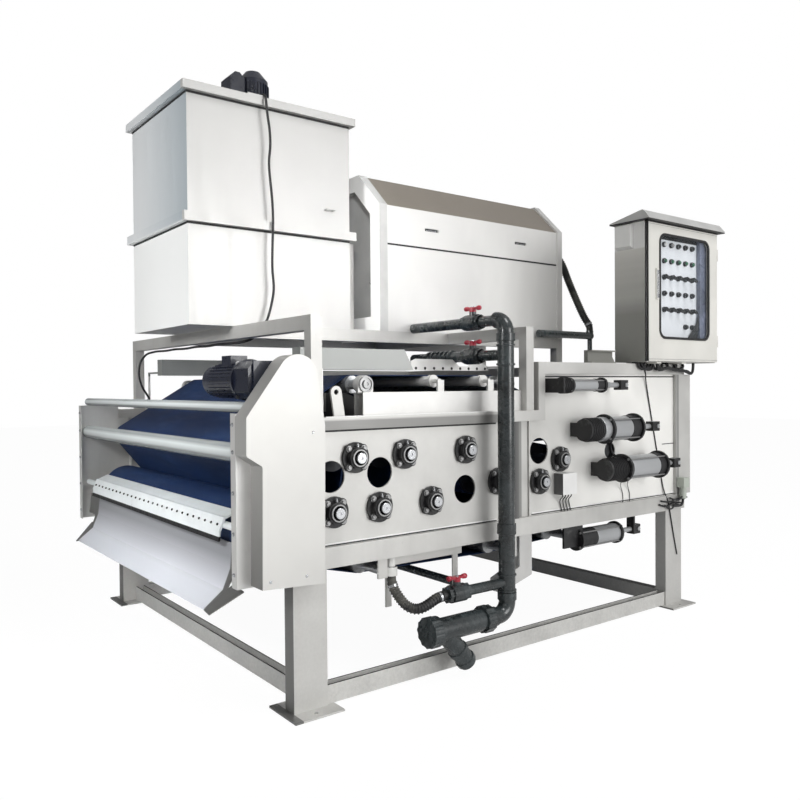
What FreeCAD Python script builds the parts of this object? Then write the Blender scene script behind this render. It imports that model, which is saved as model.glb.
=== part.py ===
import FreeCAD, Part
import math
import os
import re
import Sketcher

# Belt filter press with a mixing tank and a rotary drum thickener on top.
# Lengths are millimetres. Plan coordinates start at the outer corner of the front left leg,
# x along the machine from the discharge end, y away from the operating side, z up.
# Every piece is then shifted so that the origin is the middle of the four anchor bolts.

Vector = FreeCAD.Vector
document = FreeCAD.newDocument("belt_filter_press")
sheet = document.addObject("Spreadsheet::Sheet", "Sizes")

SIZES = {
    # press frame
    "frame_length": 3040, "frame_width": 2500, "leg_wide": 180, "member_deep": 80,
    "leg_top": 650, "foot_thick": 10, "foot_out": 40, "foot_front": 86, "bolt_out": 45, "bolt_hole": 22,
    "base_rail_top": 100, "base_rail_deep": 60, "base_rail_inset": 10, "channel_wall": 8,
    "lower_rail_high": 100, "rail_overhang": 40, "upper_rail_high": 60, "right_rail_high": 70,
    "left_bay_top": 1360, "right_bay_top": 1640, "step_left": 1625, "step_wide": 55,
    "mid_column_left": 1400, "mid_column_flange": 60, "mid_column_right": 1563, "mid_column_web": 30,
    "end_column_wide": 100, "end_plate_wide": 70, "end_plate_thick": 10,
    "side_plate_thick": 10, "side_plate_inset": 20, "left_column_wide": 60, "left_column_x": 70,
    "cross_beam_wide": 60, "cross_beam_high": 80, "cut_over": 1,
    # upper frame
    "post_wide": 60, "post_left_x": 113, "post_mid_x": 1535, "post_right_in": 50, "post_top": 1840,
    "post_inset": 10, "beam_high": 70, "long_beam_back_y": 1500,
    "dark_post_gap": 20, "dark_post_wide": 55, "dark_post_y": 900,
    # rollers and belts
    "shaft_dia": 50, "shaft_gap": 0.3, "shaft_stub": 10, "shaft_hole": 70,
    "roller_face": 2060, "belt_width": 2000, "belt_thick": 5, "press_radius": 85,
    "housing_flange_dia": 150, "housing_flange_thick": 16, "housing_hub_dia": 104, "housing_hub_long": 30,
    "upper_row_z": 1162, "lower_row_z": 910,
    "upper_first_x": 356, "upper_second_x": 657, "upper_third_x": 1069,
    "lower_first_x": 234, "lower_second_x": 497, "lower_third_x": 828,
    "dip_roller_x": 1310, "dip_roller_z": 973, "turn_roller_x": 1643, "turn_roller_z": 945,
    "wedge_roller_x": 1820, "wedge_roller_z": 1064,
    "discharge_x": -20, "discharge_z": 826, "discharge_radius": 150,
    "upper_turn_x": -16, "upper_turn_z": 1190, "upper_turn_radius": 70,
    "gravity_first_x": 480, "gravity_last_x": 1480, "gravity_z": 1515, "gravity_radius": 45,
    "gravity_roller_inset": 150, "gravity_journal_dia": 90, "gravity_journal_long": 50,
    "upper_tension_x": 2060, "upper_tension_z": 1250, "tension_radius": 85,
    "lower_tension_x": 2250, "lower_tension_z": 985,
    "end_roller_x": 2800, "end_roller_z": 850,
    "return_first_x": 520, "return_second_x": 1430, "return_third_x": 1930, "return_z": 590,
    "return_second_z": 572, "return_radius": 50,
    "hanger_wide": 56, "hanger_thick": 12, "hanger_inset": 20, "hanger_low": 40,
    # gravity table
    "tray_left": 430, "tray_inset": 50, "tray_deep": 80, "tray_top": 1475, "tray_wall": 5,
    "table_tube_dia": 56, "table_first_x": 980, "table_pitch": 370, "table_collar_dia": 68,
    "table_collar_long": 30, "table_tube_inset": 170, "table_belt_gap": 0.3,
    "rest_wide": 44, "rest_thick": 12, "rest_high": 62, "rest_inset": 110, "rest_pin_dia": 24,
    "plough_left": 850, "plough_right": 1500, "plough_y": 290, "plough_thick": 6, 
    "plough_high": 26, "plough_tooth": 38, "plough_tooth_wide": 130, "plough_step": 50,
    "box_left": 200, "box_right": 850, "box_low": 1592, "box_high": 110, "box_deep": 80, "box_y": 260,
    "box_slant": 60,
    # round windows in the side plates
    "window_dia": 152, "small_window_dia": 104,
    "window_one_x": 222, "window_one_z": 1078, "window_two_x": 505, "window_two_z": 1079,
    "window_three_x": 1068, "window_three_z": 949, "window_four_x": 1646, "window_four_z": 1122,
    "window_five_x": 2296, "window_five_z": 1088,
    # mixing tank
    "tank_left": -140, "tank_long": 1015, "tank_front": 830, "tank_deep": 850, "tank_bottom": 1840,
    "tank_wall": 4, "tank_lower_top": 2380, "tank_upper_bottom": 2430, "tank_top": 3065, "rim_out": 30,
    "lid_high": 45, "tank_gap": 95,
    "tank_handle_x": 700, "tank_handle_z": 2548, "tank_handle_long": 60, "tank_handle_out": 24,
    "tank_handle_dia": 10,
    "mixer_x": 430, "mixer_y": 1200, "mixer_dia": 180, "mixer_high": 235, "mixer_crown": 55,
    "mixer_head_left": 255, "mixer_head_wide": 90, "mixer_head_deep": 130, "mixer_head_high": 250,
    "mixer_head_chamfer": 30, "mixer_neck_high": 200, "mixer_neck_deep": 110,
    "hatch_plate_x": 200, "hatch_plate_long": 90, "hatch_plate_deep": 60, "hatch_plate_thick": 8,
    # drum thickener
    "drum_long": 1620, "drum_front": 700, "drum_deep": 880, "drum_bottom": 1840,
    "drum_eave": 2600, "drum_ridge_y": 915, "drum_top": 2810,
    "end_frame_deep": 60, "end_frame_wide": 90, "end_frame_back": 10, "end_frame_out": 5,
    "right_flange_thick": 50, "right_flange_out": 12,
    "seam_z": 2366, "seam_high": 5, "seam_deep": 4, "flap_handle_z": 2476, "flap_handle_high": 18,
    "flap_handle_long": 110, "flap_handle_first": 356, "flap_handle_second": 1150, "flap_handle_deep": 12,
    "strut_wide": 34, "strut_thick": 10, "strut_high_y": 900, "strut_high_z": 2150, "strut_low_y": 770,
    "strut_low_z": 2030,
    "drain_pipe_dia": 52, "drain_pipe_y": 660, "drain_pipe_z": 1868, "drain_pipe_left": 2340,
    "drain_pipe_right": 2890, "drain_tail_dia": 34, "drain_tail_low": 1700, "elbow_ball": 60, "elbow_neck": 38,
    "drain_clip_x": 2480, "drain_clip_wide": 30,
    # control cabinet
    "cabinet_left": 2530, "cabinet_wide": 800, "cabinet_front": -100, "cabinet_deep": 257,
    "cabinet_bottom": 1650, "cabinet_high": 900, "cabinet_wall": 3, "door_thick": 20, "door_gap": 5,
    "window_margin_left": 122, "window_margin_right": 106, "window_margin_low": 152, "window_margin_top": 68,
    "window_corner": 55, "glass_thick": 5,
    "cabinet_foot_wide": 50, "cabinet_foot_in": 120, "cabinet_panel_back": 30,
    "button_dia": 26, "button_long": 16, "button_left": 238, "button_pitch": 80, "button_top": 125,
    "button_row": 107, "button_rows": 5, "button_columns": 5, "last_row_from": 3,
    "door_lock_x": 80, "door_lock_z": 400, "door_lock_wide": 26, "door_lock_high": 200, "door_lock_out": 10,
    "roof_high": 66, "roof_out": 34, "roof_lip": 12, "roof_side": 38, "roof_front_in": 10, "roof_round": 22,
    "roof_back_out": 12, "cowl_high": 168, "cowl_back": 28, "cowl_wide": 120, "cowl_out": 36, "cowl_top": 8,
    "cowl_rise": 16,
    "hinge_dia": 12, "hinge_out": 6, "hinge_high": 40, "hinge_end": 110, "hinge_clear": 0.3, "hinge_tab": 4,
    "hinge_leaf_more": 28,
    "channel_left": 2110, "channel_long": 240, "channel_deep": 60, "channel_high": 80, "channel_inset": 10,
    "channel_web": 30, "gusset_long": 60,
    # discharge hood
    "hood_left": -265, "hood_bottom": 620, "hood_top": 1390, "hood_flange": 50,
    "hood_sheet": 5, "hood_wall_y": 20, "tie_bar_dia": 50, "tie_bar_x": -200,
    "free_roller_dia": 88, "free_roller_x": -200, "free_roller_z": 1208,
    "guard_front": 92, "guard_wall": 5, "guard_low_left": -198, "guard_low_z": 629, "guard_knee_z": 1162,
    "guard_knee_x": -192, "guard_nose_low_x": -268, "guard_nose_low_z": 1210, "guard_nose_x": -266,
    "guard_nose_z": 1375, "guard_apex_x": 50, "guard_apex_z": 1799, "guard_apex_radius": 100,
    "guard_right_x": 123, "guard_right_z": 1330, "guard_foot_x": 115, "guard_foot_z": 613,
    "guard_soft": 14,
    # scraper and chute
    "plate_tip_x": -148, "plate_tip_z": 921, "plate_edge_x": -206, "plate_edge_z": 896, "plate_thick": 8,
    "strip_low_x": -234, "strip_low_z": 838, "strip_thick": 12, "rubber_low_x": -240, "rubber_low_z": 796,
    "rubber_thick": 7, "scraper_bar_dia": 34, "scraper_bar_x": -204, "scraper_bar_z": 866,
    "chute_sheet": 5, "chute_lip_x": -333, "chute_lip_z": 500, "chute_fold_x": -235, "chute_fold_z": 575,
    "chute_knee_x": -198, "chute_knee_z": 668, "chute_top_x": -186, "chute_top_z": 785,
    "chute_lip_in": 225, "chute_back_in": 175, "chute_wing_x": -205, "chute_wing_drop": 12,
    "chute_wing_out": 60, "chute_wing_back_out": 99, "chute_wing_back_z": 600,
    # drive
    "motor_x": -110, "motor_z": 1537, "motor_dia": 156, "motor_long": 300, "motor_plate_thick": 12,
    "gearbox_wide": 170, "gearbox_long": 150, "gearbox_chamfer": 34, "ring_dia": 196, "ring_long": 16,
    "cowl_dia": 150, "cowl_long": 60, "terminal_wide": 86, "terminal_long": 100, "terminal_high": 60,
    "lug_left": 250, "lug_right": 310, "lug_eye_x": 262, "lug_eye_z": 1478, "lug_eye_dia": 60,
    "lug_hole_dia": 26, "lug_thick": 12, "lug_inset": 30,
    # pneumatics
    "cylinder_out": 80, "bracket_thick": 14, "bracket_high": 84, "rod_dia": 30,
    "fork_long": 70, "fork_deep": 56, "fork_high": 60, "fork_slot": 24, "disc_thick": 16,
    "small_disc_dia": 92, "small_barrel_dia": 70, "small_bellows_dia": 84,
    "large_disc_dia": 178, "large_barrel_dia": 146, "large_bellows_dia": 132,
    "cyl_one_z": 1502, "cyl_one_left": 1700, "cyl_one_body": 1800, "cyl_one_end": 2080, "cyl_one_fork": 2313,
    "cyl_two_z": 1235, "cyl_two_left": 1920, "cyl_two_body": 2120, "cyl_two_end": 2390, "cyl_two_fork": 2640,
    "cyl_three_z": 985, "cyl_three_left": 2110, "cyl_three_body": 2290, "cyl_three_end": 2650,
    "cyl_three_fork": 2870,
    "track_z": 562, "track_left": 1845, "track_body": 1990, "track_end": 2350, "track_fork": 2590,
    "track_dia": 116, "track_disc_dia": 140, "track_bellows_dia": 100, "track_plate_long": 170,
    "track_plate_high": 76, "track_inset": 34,
    "air_unit_x": 2990, "air_unit_wide": 64, "air_unit_deep": 56, "air_unit_low": 800, "air_unit_high": 66,
    "air_bowl_dia": 44, "air_bowl_long": 76,
    # wash water pipework
    "riser_x": 1260, "pipe_y": -100, "riser_dia": 90, "riser_low": 270, "bend_radius": 70,
    "branch_dia": 54, "branch_z": 440, "branch_valve_x": 900, "spray_dia": 60, "spray_valve_y": 160,
    "valve_long": 90, "valve_dia": 92, "nut_long": 26, "nut_dia": 78, "bonnet_dia": 40, "bonnet_top": 60,
    "valve_clear": 0.3, "lever_long": 100, "lever_wide": 22, "lever_thick": 12, "lever_hub": 26,
    "strainer_left": 700, "union_dia": 150, "union_long": 66, "strainer_dia": 118, "strainer_long": 300,
    "second_union_dia": 138, "second_union_long": 58, "strainer_leg_x": 800, "strainer_leg_dia": 98,
    "strainer_leg_long": 262, "strainer_leg_angle": 140,
    "upper_spray_z": 1860, "lower_spray_z": 1670, "spray_end_y": 700, "rib_dia": 80, "rib_long": 14,
    "rib_pitch": 40, "rib_start": 330, "rib_count": 6,
    "spray_bar_x": 1040, "spray_bar_z": 440, "spray_bar_dia": 44, "spray_plate_wide": 36,
    "spray_plate_low": 410, "spray_plate_thick": 8, "first_plate_x": 592, "first_plate_low": 385,
    "under_bar_right": 1076, "under_bar_high": 54, "under_bar_deep": 12,
    "stub_x": 578, "stub_y": 30, "stub_dia": 40, "stub_collar_dia": 58, "stub_collar_long": 44,
    "stub_long": 50,
    # drain
    "duct_left": 1543, "duct_wide": 102, "duct_deep": 90, "duct_low": 390, "duct_foot_long": 150,
    "duct_foot_drop": 60, "duct_foot_high": 70,
    # junction box
    "junction_left": 1773, "junction_wide": 124, "junction_low": 858, "junction_high": 125,
    "junction_deep": 70,
    # flexible lines
    "motor_cable_dia": 14, "thickener_hose_dia": 48, "wash_hose_dia": 46, "gland_dia": 34, "gland_long": 22,
}

for row, (alias, value) in enumerate(SIZES.items(), start=1):
    sheet.set(f"A{row}", alias)
    sheet.set(f"B{row}", str(value))
    sheet.setAlias(f"B{row}", alias)
document.recompute()

SHIFT_X = "frame_length/2"
SHIFT_Y = "frame_width/2"
SIDES = ("front", "back")
PLATE_LOW = "(leg_top + lower_rail_high)"
LEFT_LOW = "(left_bay_top - upper_rail_high)"
RIGHT_LOW = "(right_bay_top - right_rail_high)"
RAIL_RIGHT = "(frame_length + rail_overhang)"
END_COLUMN = f"({RAIL_RIGHT} - end_column_wide)"
PLATE_INNER = "(side_plate_inset + side_plate_thick)"
HOOD_INNER = "(hood_wall_y + hood_sheet)"
BEAM_LOW = "(post_top - beam_high)"
DRUM_LEFT = "(tank_left + tank_long + rim_out + tank_gap)"
DRUM_RIGHT = f"({DRUM_LEFT} + drum_long)"
POST_RIGHT = f"({DRUM_RIGHT} - post_right_in)"
nodes = []
SAME_POINT = 0.001


def formula(text):
    """An expression that reads the named sizes from the sheet."""
    return re.sub(r"[a-z]\w*", lambda name: "Sizes." + name.group(), str(text))


def size(text):
    """The number that an expression gives now."""
    return float(sheet.evalExpression(formula(text)))


def bind(thing, **expressions):
    for name, text in expressions.items():
        thing.setExpression(name, formula(text))


def place(thing, x, y, z):
    """Move a piece to a point in plan coordinates."""
    thing.setExpression("Placement.Base.x", formula(f"{x} - {SHIFT_X}"))
    thing.setExpression("Placement.Base.y", formula(f"{y} - {SHIFT_Y}"))
    thing.setExpression("Placement.Base.z", formula(z))


def keep(label, *pieces):
    """Name a sub-part. Several like pieces share it as one compound."""
    if len(pieces) == 1:
        whole = pieces[0]
    else:
        whole = document.addObject("Part::Compound", label)
        whole.Links = list(pieces)
    whole.Label = label
    nodes.append(whole)
    return whole


def block(x, y, z, long, deep, high):
    """A box from its lowest corner."""
    box = document.addObject("Part::Box", "block")
    bind(box, Length=long, Width=deep, Height=high)
    place(box, x, y, z)
    return box


AXIS_TURN = {"x": ((0, 1, 0), 90), "y": ((1, 0, 0), -90), "z": ((0, 0, 1), 0)}


def rod(x, y, z, dia, long, axis="z"):
    """A round bar that runs from its centre point towards plus axis."""
    bar = document.addObject("Part::Cylinder", "rod")
    turn, angle = AXIS_TURN[axis]
    bar.Placement = FreeCAD.Placement(Vector(0, 0, 0), FreeCAD.Rotation(Vector(*turn), angle))
    bind(bar, Radius=f"({dia})/2", Height=long)
    place(bar, x, y, z)
    return bar


def leaning_rod(x, y, z, dia, long, angle):
    """A round bar in the side view that leans from upright towards plus x by a named angle."""
    bar = rod(x, y, z, dia, long)
    bar.Placement = FreeCAD.Placement(Vector(0, 0, 0), FreeCAD.Rotation(Vector(0, 1, 0), size(angle)))
    place(bar, x, y, z)
    return bar


def ball(x, y, z, dia):
    sphere = document.addObject("Part::Sphere", "ball")
    bind(sphere, Radius=f"({dia})/2")
    place(sphere, x, y, z)
    return sphere


QUARTER_BENDS = {
    # from the foot of the riser round to a run towards minus x
    "low": FreeCAD.Rotation(Vector(1, 0, 0), 90).multiply(FreeCAD.Rotation(Vector(0, 0, 1), -90)),
    # from the head of the riser round to a run towards plus y
    "high": FreeCAD.Rotation(Vector(1, 1, 1), 120).multiply(FreeCAD.Rotation(Vector(0, 0, 1), 90)),
}


def quarter_bend(kind, x, y, z, dia):
    """A pipe elbow round its centre of bend."""
    ring = document.addObject("Part::Torus", "bend")
    ring.Angle3 = 90
    ring.Placement = FreeCAD.Placement(Vector(0, 0, 0), QUARTER_BENDS[kind])
    bind(ring, Radius1="bend_radius", Radius2=f"({dia})/2")
    place(ring, x, y, z)
    return ring


def taper(x, y, z, dia, top_dia, high):
    cone = document.addObject("Part::Cone", "taper")
    bind(cone, Radius1=f"({dia})/2", Radius2=f"({top_dia})/2", Height=high)
    place(cone, x, y, z)
    return cone


def cut(base, *tools):
    for tool in tools:
        result = document.addObject("Part::Cut", "cut")
        result.Base = base
        result.Tool = tool
        base = result
    return base


def fuse(*pieces):
    result = document.addObject("Part::MultiFuse", "fuse")
    result.Shapes = list(pieces)
    return result


def overlap(first, second):
    result = document.addObject("Part::Common", "overlap")
    result.Base = first
    result.Tool = second
    return result


def side_y(side, inset, deep):
    """Where a piece starts across the machine: measured inwards from that side's outer face."""
    return f"({inset})" if side == "front" else f"(frame_width - ({inset}) - ({deep}))"


PLANES = {"side": ("XZ_Plane", True), "end": ("YZ_Plane", False), "plan": ("XY_Plane", False)}


def draw(body, view, outline, holes=()):
    """A sketch of straight edges and round holes on one of a body's own planes."""
    role, reverse = PLANES[view]
    plane = next(feature for feature in body.Origin.OriginFeatures if feature.Role == role)
    sketch = body.newObject("Sketcher::SketchObject", "outline")
    sketch.AttachmentSupport = [(plane, "")]
    sketch.MapMode = "FlatFace"
    corners = [Vector(size(u), size(v), 0) for u, v in outline]
    count = len(outline)
    for index in range(count):
        sketch.addGeometry(Part.LineSegment(corners[index - 1], corners[index]), False)
    for index, (u, v) in enumerate(outline):
        sketch.addConstraint(Sketcher.Constraint("Coincident", index, 2, (index + 1) % count, 1))
        for direction, text in (("DistanceX", u), ("DistanceY", v)):
            fixed = sketch.addConstraint(Sketcher.Constraint(direction, -1, 1, index, 2, size(text)))
            sketch.setExpression(f"Constraints[{fixed}]", formula(text))
    for u, v, dia in holes:
        centre = Vector(size(u), size(v), 0)
        circle = sketch.addGeometry(Part.Circle(centre, Vector(0, 0, 1), size(dia) / 2), False)
        for kind, text in (("DistanceX", u), ("DistanceY", v)):
            fixed = sketch.addConstraint(Sketcher.Constraint(kind, -1, 1, circle, 3, size(text)))
            sketch.setExpression(f"Constraints[{fixed}]", formula(text))
        fixed = sketch.addConstraint(Sketcher.Constraint("Diameter", circle, size(dia)))
        sketch.setExpression(f"Constraints[{fixed}]", formula(dia))
    return sketch


FLAT = {"side": lambda point: (point.x, point.z), "end": lambda point: (point.y, point.z),
        "plan": lambda point: (point.x, point.y)}


def corner_edges(shape, view, corner):
    """Names of the edges that stand on one corner of an outline, across its plane."""
    names = []
    for number, edge in enumerate(shape.Edges, start=1):
        ends = [FLAT[view](vertex.Point) for vertex in edge.Vertexes]
        if len(ends) == 2 and all(math.dist(end, corner) < SAME_POINT for end in ends):
            names.append(f"Edge{number}")
    return names


def profile(view, outline, thick, x="0", y="0", z="0", holes=(), rounds=()):
    """A padded outline, drawn in plan coordinates in the side (x, z), end (y, z) or plan (x, y) view.

    Rounds are pairs of a radius and the numbers of the corners that it rounds.
    """
    body = document.addObject("PartDesign::Body", "profile")
    pad = body.newObject("PartDesign::Pad", "thickness")
    pad.Profile = draw(body, view, outline, holes)
    pad.Reversed = PLANES[view][1]
    bind(pad, Length=thick)
    base = pad
    for radius, numbers in rounds:
        document.recompute()
        names = []
        for number in numbers:
            u, v = outline[number]
            names += corner_edges(base.Shape, view, (size(u), size(v)))
        fillet = body.newObject("PartDesign::Fillet", "rounding")
        fillet.Base = (base, names)
        bind(fillet, Radius=radius)
        base = fillet
    place(body, x, y, z)
    return body


def loft_along_x(first, first_x, last, last_x):
    """A solid between two outlines in the end view, at two places along the machine."""
    body = document.addObject("PartDesign::Body", "loft")
    sections = []
    for outline, x in ((first, first_x), (last, last_x)):
        section = draw(body, "end", outline)
        section.setExpression("AttachmentOffset.Base.z", formula(x))
        sections.append(section)
    loft = body.newObject("PartDesign::AdditiveLoft", "loft")
    loft.Profile = sections[0]
    loft.Sections = sections[1:]
    loft.Ruled = True
    place(body, "0", "0", "0")
    return body


def open_shell(solid, wall, open_face):
    """A sheet cover made from a solid: walls of even thickness inwards, open at one face."""
    document.recompute()
    faces = list(solid.Shape.Faces)
    number = faces.index(open_face(faces)) + 1
    shell = document.addObject("Part::Thickness", "shell")
    shell.Faces = (solid, [f"Face{number}"])
    shell.Join = "Intersection"
    bind(shell, Value=f"-{wall}")
    return shell


def line_tube(route, dia):
    """A flexible line along a route of points: straight runs joined by tangent arcs."""
    points = [Vector(*point) for point in route]
    edges, radii = [], []
    start = points[0]
    for before, corner, after in zip(points, points[1:], points[2:]):
        arriving, leaving = (corner - before), (after - corner)
        shorter = min(arriving.Length, leaving.Length)
        arriving.normalize()
        leaving.normalize()
        turn = arriving.getAngle(leaving)
        trim = 0.45 * shorter
        radii.append(trim / math.tan(turn / 2))
        enter, leave = corner - arriving * trim, corner + leaving * trim
        bulge = (leaving - arriving).normalize()
        crown = corner + bulge * (radii[-1] / math.cos(turn / 2) - radii[-1])
        edges.append(Part.LineSegment(start, enter).toShape())
        edges.append(Part.Arc(enter, crown, leave).toShape())
        start = leave
    edges.append(Part.LineSegment(start, points[-1]).toShape())
    path = Part.Wire(edges)
    circle = Part.Circle(points[0], points[1] - points[0], dia / 2)
    tube = path.makePipe(Part.Face(Part.Wire([circle.toShape()])))
    print("line of", round(path.Length), "mm, smallest radius", round(min(radii)),
          "volume ratio", round(tube.Volume / (path.Length * math.pi * dia**2 / 4), 4))
    return tube


def flexible(label, route, dia):
    line = document.addObject("Part::Feature", label)
    line.Shape = line_tube(route, size(dia))
    place(line, "0", "0", "0")
    return keep(label, line)


# The rollers, with centre, radius and the side of the roller that the belts pass.
PRESS_ROLLERS = [
    ("wedge_roller_x", "wedge_roller_z", "press_radius", "over"),
    ("turn_roller_x", "turn_roller_z", "press_radius", "under"),
    ("dip_roller_x", "dip_roller_z", "press_radius", "under"),
    ("upper_third_x", "upper_row_z", "press_radius", "over"),
    ("lower_third_x", "lower_row_z", "press_radius", "under"),
    ("upper_second_x", "upper_row_z", "press_radius", "over"),
    ("lower_second_x", "lower_row_z", "press_radius", "under"),
    ("upper_first_x", "upper_row_z", "press_radius", "over"),
    ("lower_first_x", "lower_row_z", "press_radius", "under"),
    ("discharge_x", "discharge_z", "discharge_radius", "over"),
]
UPPER_RETURN = [
    ("upper_turn_x", "upper_turn_z", "upper_turn_radius", "over"),
    ("gravity_first_x", "gravity_z", "gravity_radius", "over"),
    ("gravity_last_x", "gravity_z", "gravity_radius", "over"),
    ("upper_tension_x", "upper_tension_z", "tension_radius", "over"),
]
LOWER_RETURN = [
    ("return_first_x", "return_z", "return_radius", "under"),
    ("return_second_x", "return_second_z", "return_radius", "under"),
    ("return_third_x", "return_z", "return_radius", "under"),
    ("end_roller_x", "end_roller_z", "tension_radius", "under"),
    ("lower_tension_x", "lower_tension_z", "tension_radius", "over"),
]
SIDE_WINDOWS = [
    ("window_one_x", "window_one_z", "window_dia"),
    ("window_two_x", "window_two_z", "window_dia"),
    ("window_three_x", "window_three_z", "window_dia"),
]
RIGHT_WINDOWS = [
    ("window_four_x", "window_four_z", "window_dia"),
    ("window_five_x", "window_five_z", "small_window_dia"),
]
HOUSED_LEFT = PRESS_ROLLERS[2:9]
HOUSED_RIGHT = PRESS_ROLLERS[0:2]


def legs():
    """Four upright box sections, each welded to a bolted foot plate."""
    for side in SIDES:
        for end, left in (("left", "0"), ("right", "(frame_length - leg_wide)")):
            y = side_y(side, "0", "member_deep")
            upright = block(left, y, "foot_thick", "leg_wide", "member_deep", "leg_top - foot_thick")
            deep = "(2*foot_front + member_deep)"
            foot = block(f"{left} - foot_out", side_y(side, "-foot_front", deep), "0",
                         "leg_wide + 2*foot_out", deep, "foot_thick")
            hole_y = "(-bolt_out)" if side == "front" else "(frame_width + bolt_out)"
            hole = rod(f"{left} + leg_wide/2", hole_y, "-cut_over", "bolt_hole", "foot_thick + 2*cut_over")
            keep(f"leg_{side}_{end}", fuse(upright, cut(foot, hole)))


def channel_outline(low, high, left, right):
    """An upright U section, open at the top."""
    return [(left, low), (right, low), (right, high), (f"{right} - channel_wall", high),
            (f"{right} - channel_wall", f"{low} + channel_wall"),
            (f"{left} + channel_wall", f"{low} + channel_wall"), (f"{left} + channel_wall", high), (left, high)]


def base_rails():
    """Channels that tie the legs together just above the floor."""
    low, high = "foot_thick", "base_rail_top"
    long = []
    for side in SIDES:
        y = side_y(side, "base_rail_inset", "base_rail_deep")
        long.append(profile("end", channel_outline(low, high, y, f"({y} + base_rail_deep)"),
                            "frame_length - 2*leg_wide", x="leg_wide"))
    keep("base_rails_long", *long)
    across = []
    for left in ("(leg_wide/2)", "(frame_length - leg_wide/2 - base_rail_deep)"):
        across.append(profile("side", channel_outline(low, high, left, f"({left} + base_rail_deep)"),
                              "frame_width - 2*member_deep", y="member_deep"))
    keep("base_rails_cross", *across)


def hanging_plate(side, x, low, wide, inset, thick):
    """A flat plate that hangs from the lower rail."""
    return block(f"{x} - {wide}/2", side_y(side, inset, thick), low, wide, thick, f"leg_top - ({low})")


def side_frames():
    """Two welded side frames: rails, columns and the recessed plates that carry the bearings."""
    holes_left = list(SIDE_WINDOWS) + [(x, z, "shaft_hole") for x, z, radius, way in HOUSED_LEFT]
    holes_right = list(RIGHT_WINDOWS) + [(x, z, "shaft_hole") for x, z, radius, way in HOUSED_RIGHT]
    step_right = "(step_left + step_wide)"
    for side in SIDES:
        y = side_y(side, "0", "member_deep")
        rail = [block("0", y, "leg_top", RAIL_RIGHT, "member_deep", "lower_rail_high")]
        for x, z, radius, way in LOWER_RETURN[:3]:
            rail.append(hanging_plate(side, x, f"{z} - hanger_low", "hanger_wide", "hanger_inset",
                                      "hanger_thick"))
        plate_in = "(member_deep - spray_plate_thick)"
        for x, low in (("first_plate_x", "first_plate_low"), ("spray_bar_x", "spray_plate_low")):
            rail.append(hanging_plate(side, x, low, "spray_plate_wide", plate_in, "spray_plate_thick"))
        bar_left = "(first_plate_x - spray_plate_wide/2)"
        rail.append(block(bar_left, side_y(side, f"{plate_in} - under_bar_deep", "under_bar_deep"),
                          "leg_top - under_bar_high", f"under_bar_right - {bar_left}",
                          "under_bar_deep", "under_bar_high"))
        keep(f"lower_rail_{side}", fuse(*rail))
        outline = [("0", LEFT_LOW), (step_right, LEFT_LOW), (step_right, RIGHT_LOW),
                   (RAIL_RIGHT, RIGHT_LOW), (RAIL_RIGHT, "right_bay_top"), ("step_left", "right_bay_top"),
                   ("step_left", "left_bay_top"), ("0", "left_bay_top")]
        top = profile("side", outline, "member_deep", y=y)
        if side == "front":
            lug_y = "lug_inset"
            foot = [("lug_left", "left_bay_top"), ("lug_right", "left_bay_top"),
                    ("lug_eye_x + lug_eye_dia/2", "lug_eye_z"), ("lug_eye_x - lug_eye_dia/2", "lug_eye_z")]
            lug = cut(fuse(profile("side", foot, "lug_thick", y=lug_y),
                           rod("lug_eye_x", lug_y, "lug_eye_z", "lug_eye_dia", "lug_thick", "y")),
                      rod("lug_eye_x", f"{lug_y} - cut_over", "lug_eye_z", "lug_hole_dia",
                          "lug_thick + 2*cut_over", "y"))
            top = fuse(top, lug)
        keep(f"upper_rail_{side}", top)
        web = "mid_column_web"
        column_left, lip_right = "mid_column_left", "mid_column_right"
        flange = "(mid_column_left + mid_column_flange)"
        channel = [(column_left, "0"), (flange, "0"), (flange, web), (lip_right, web),
                   (lip_right, "member_deep"), (column_left, "member_deep")]
        if side == "back":
            channel = [(u, f"member_deep - ({v})") for u, v in channel]
        middle = profile("plan", channel, f"{LEFT_LOW} - {PLATE_LOW}", y=y, z=PLATE_LOW)
        left = block("left_column_x", y, PLATE_LOW, "left_column_wide", "member_deep",
                     f"{LEFT_LOW} - {PLATE_LOW}")
        right = fuse(block(END_COLUMN, y, PLATE_LOW, "end_column_wide", "member_deep",
                           f"{RIGHT_LOW} - {PLATE_LOW}"),
                     block(RAIL_RIGHT, side_y(side, "0", "end_plate_thick"), PLATE_LOW, "end_plate_wide",
                           "end_plate_thick", f"{RIGHT_LOW} - {PLATE_LOW}"))
        keep(f"columns_{side}", left, middle, right)
        plate_y = side_y(side, "side_plate_inset", "side_plate_thick")
        start = "(left_column_x + left_column_wide)"
        left_plate = profile("side", [(start, PLATE_LOW), ("mid_column_left", PLATE_LOW),
                                      ("mid_column_left", LEFT_LOW), (start, LEFT_LOW)],
                             "side_plate_thick", y=plate_y, holes=holes_left)
        right_plate = profile("side", [("mid_column_right", PLATE_LOW), (END_COLUMN, PLATE_LOW),
                                       (END_COLUMN, RIGHT_LOW), (step_right, RIGHT_LOW),
                                       (step_right, LEFT_LOW), ("mid_column_right", LEFT_LOW)],
                              "side_plate_thick", y=plate_y, holes=holes_right)
        keep(f"side_plates_{side}", left_plate, right_plate)


def cross_beams():
    """Beams between the two side frames, under the press rollers."""
    beams = [block(left, "member_deep", "leg_top", "cross_beam_wide", "frame_width - 2*member_deep",
                   "cross_beam_high") for left in ("leg_wide", "mid_column_left", END_COLUMN)]
    keep("cross_beams", *beams)


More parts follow.
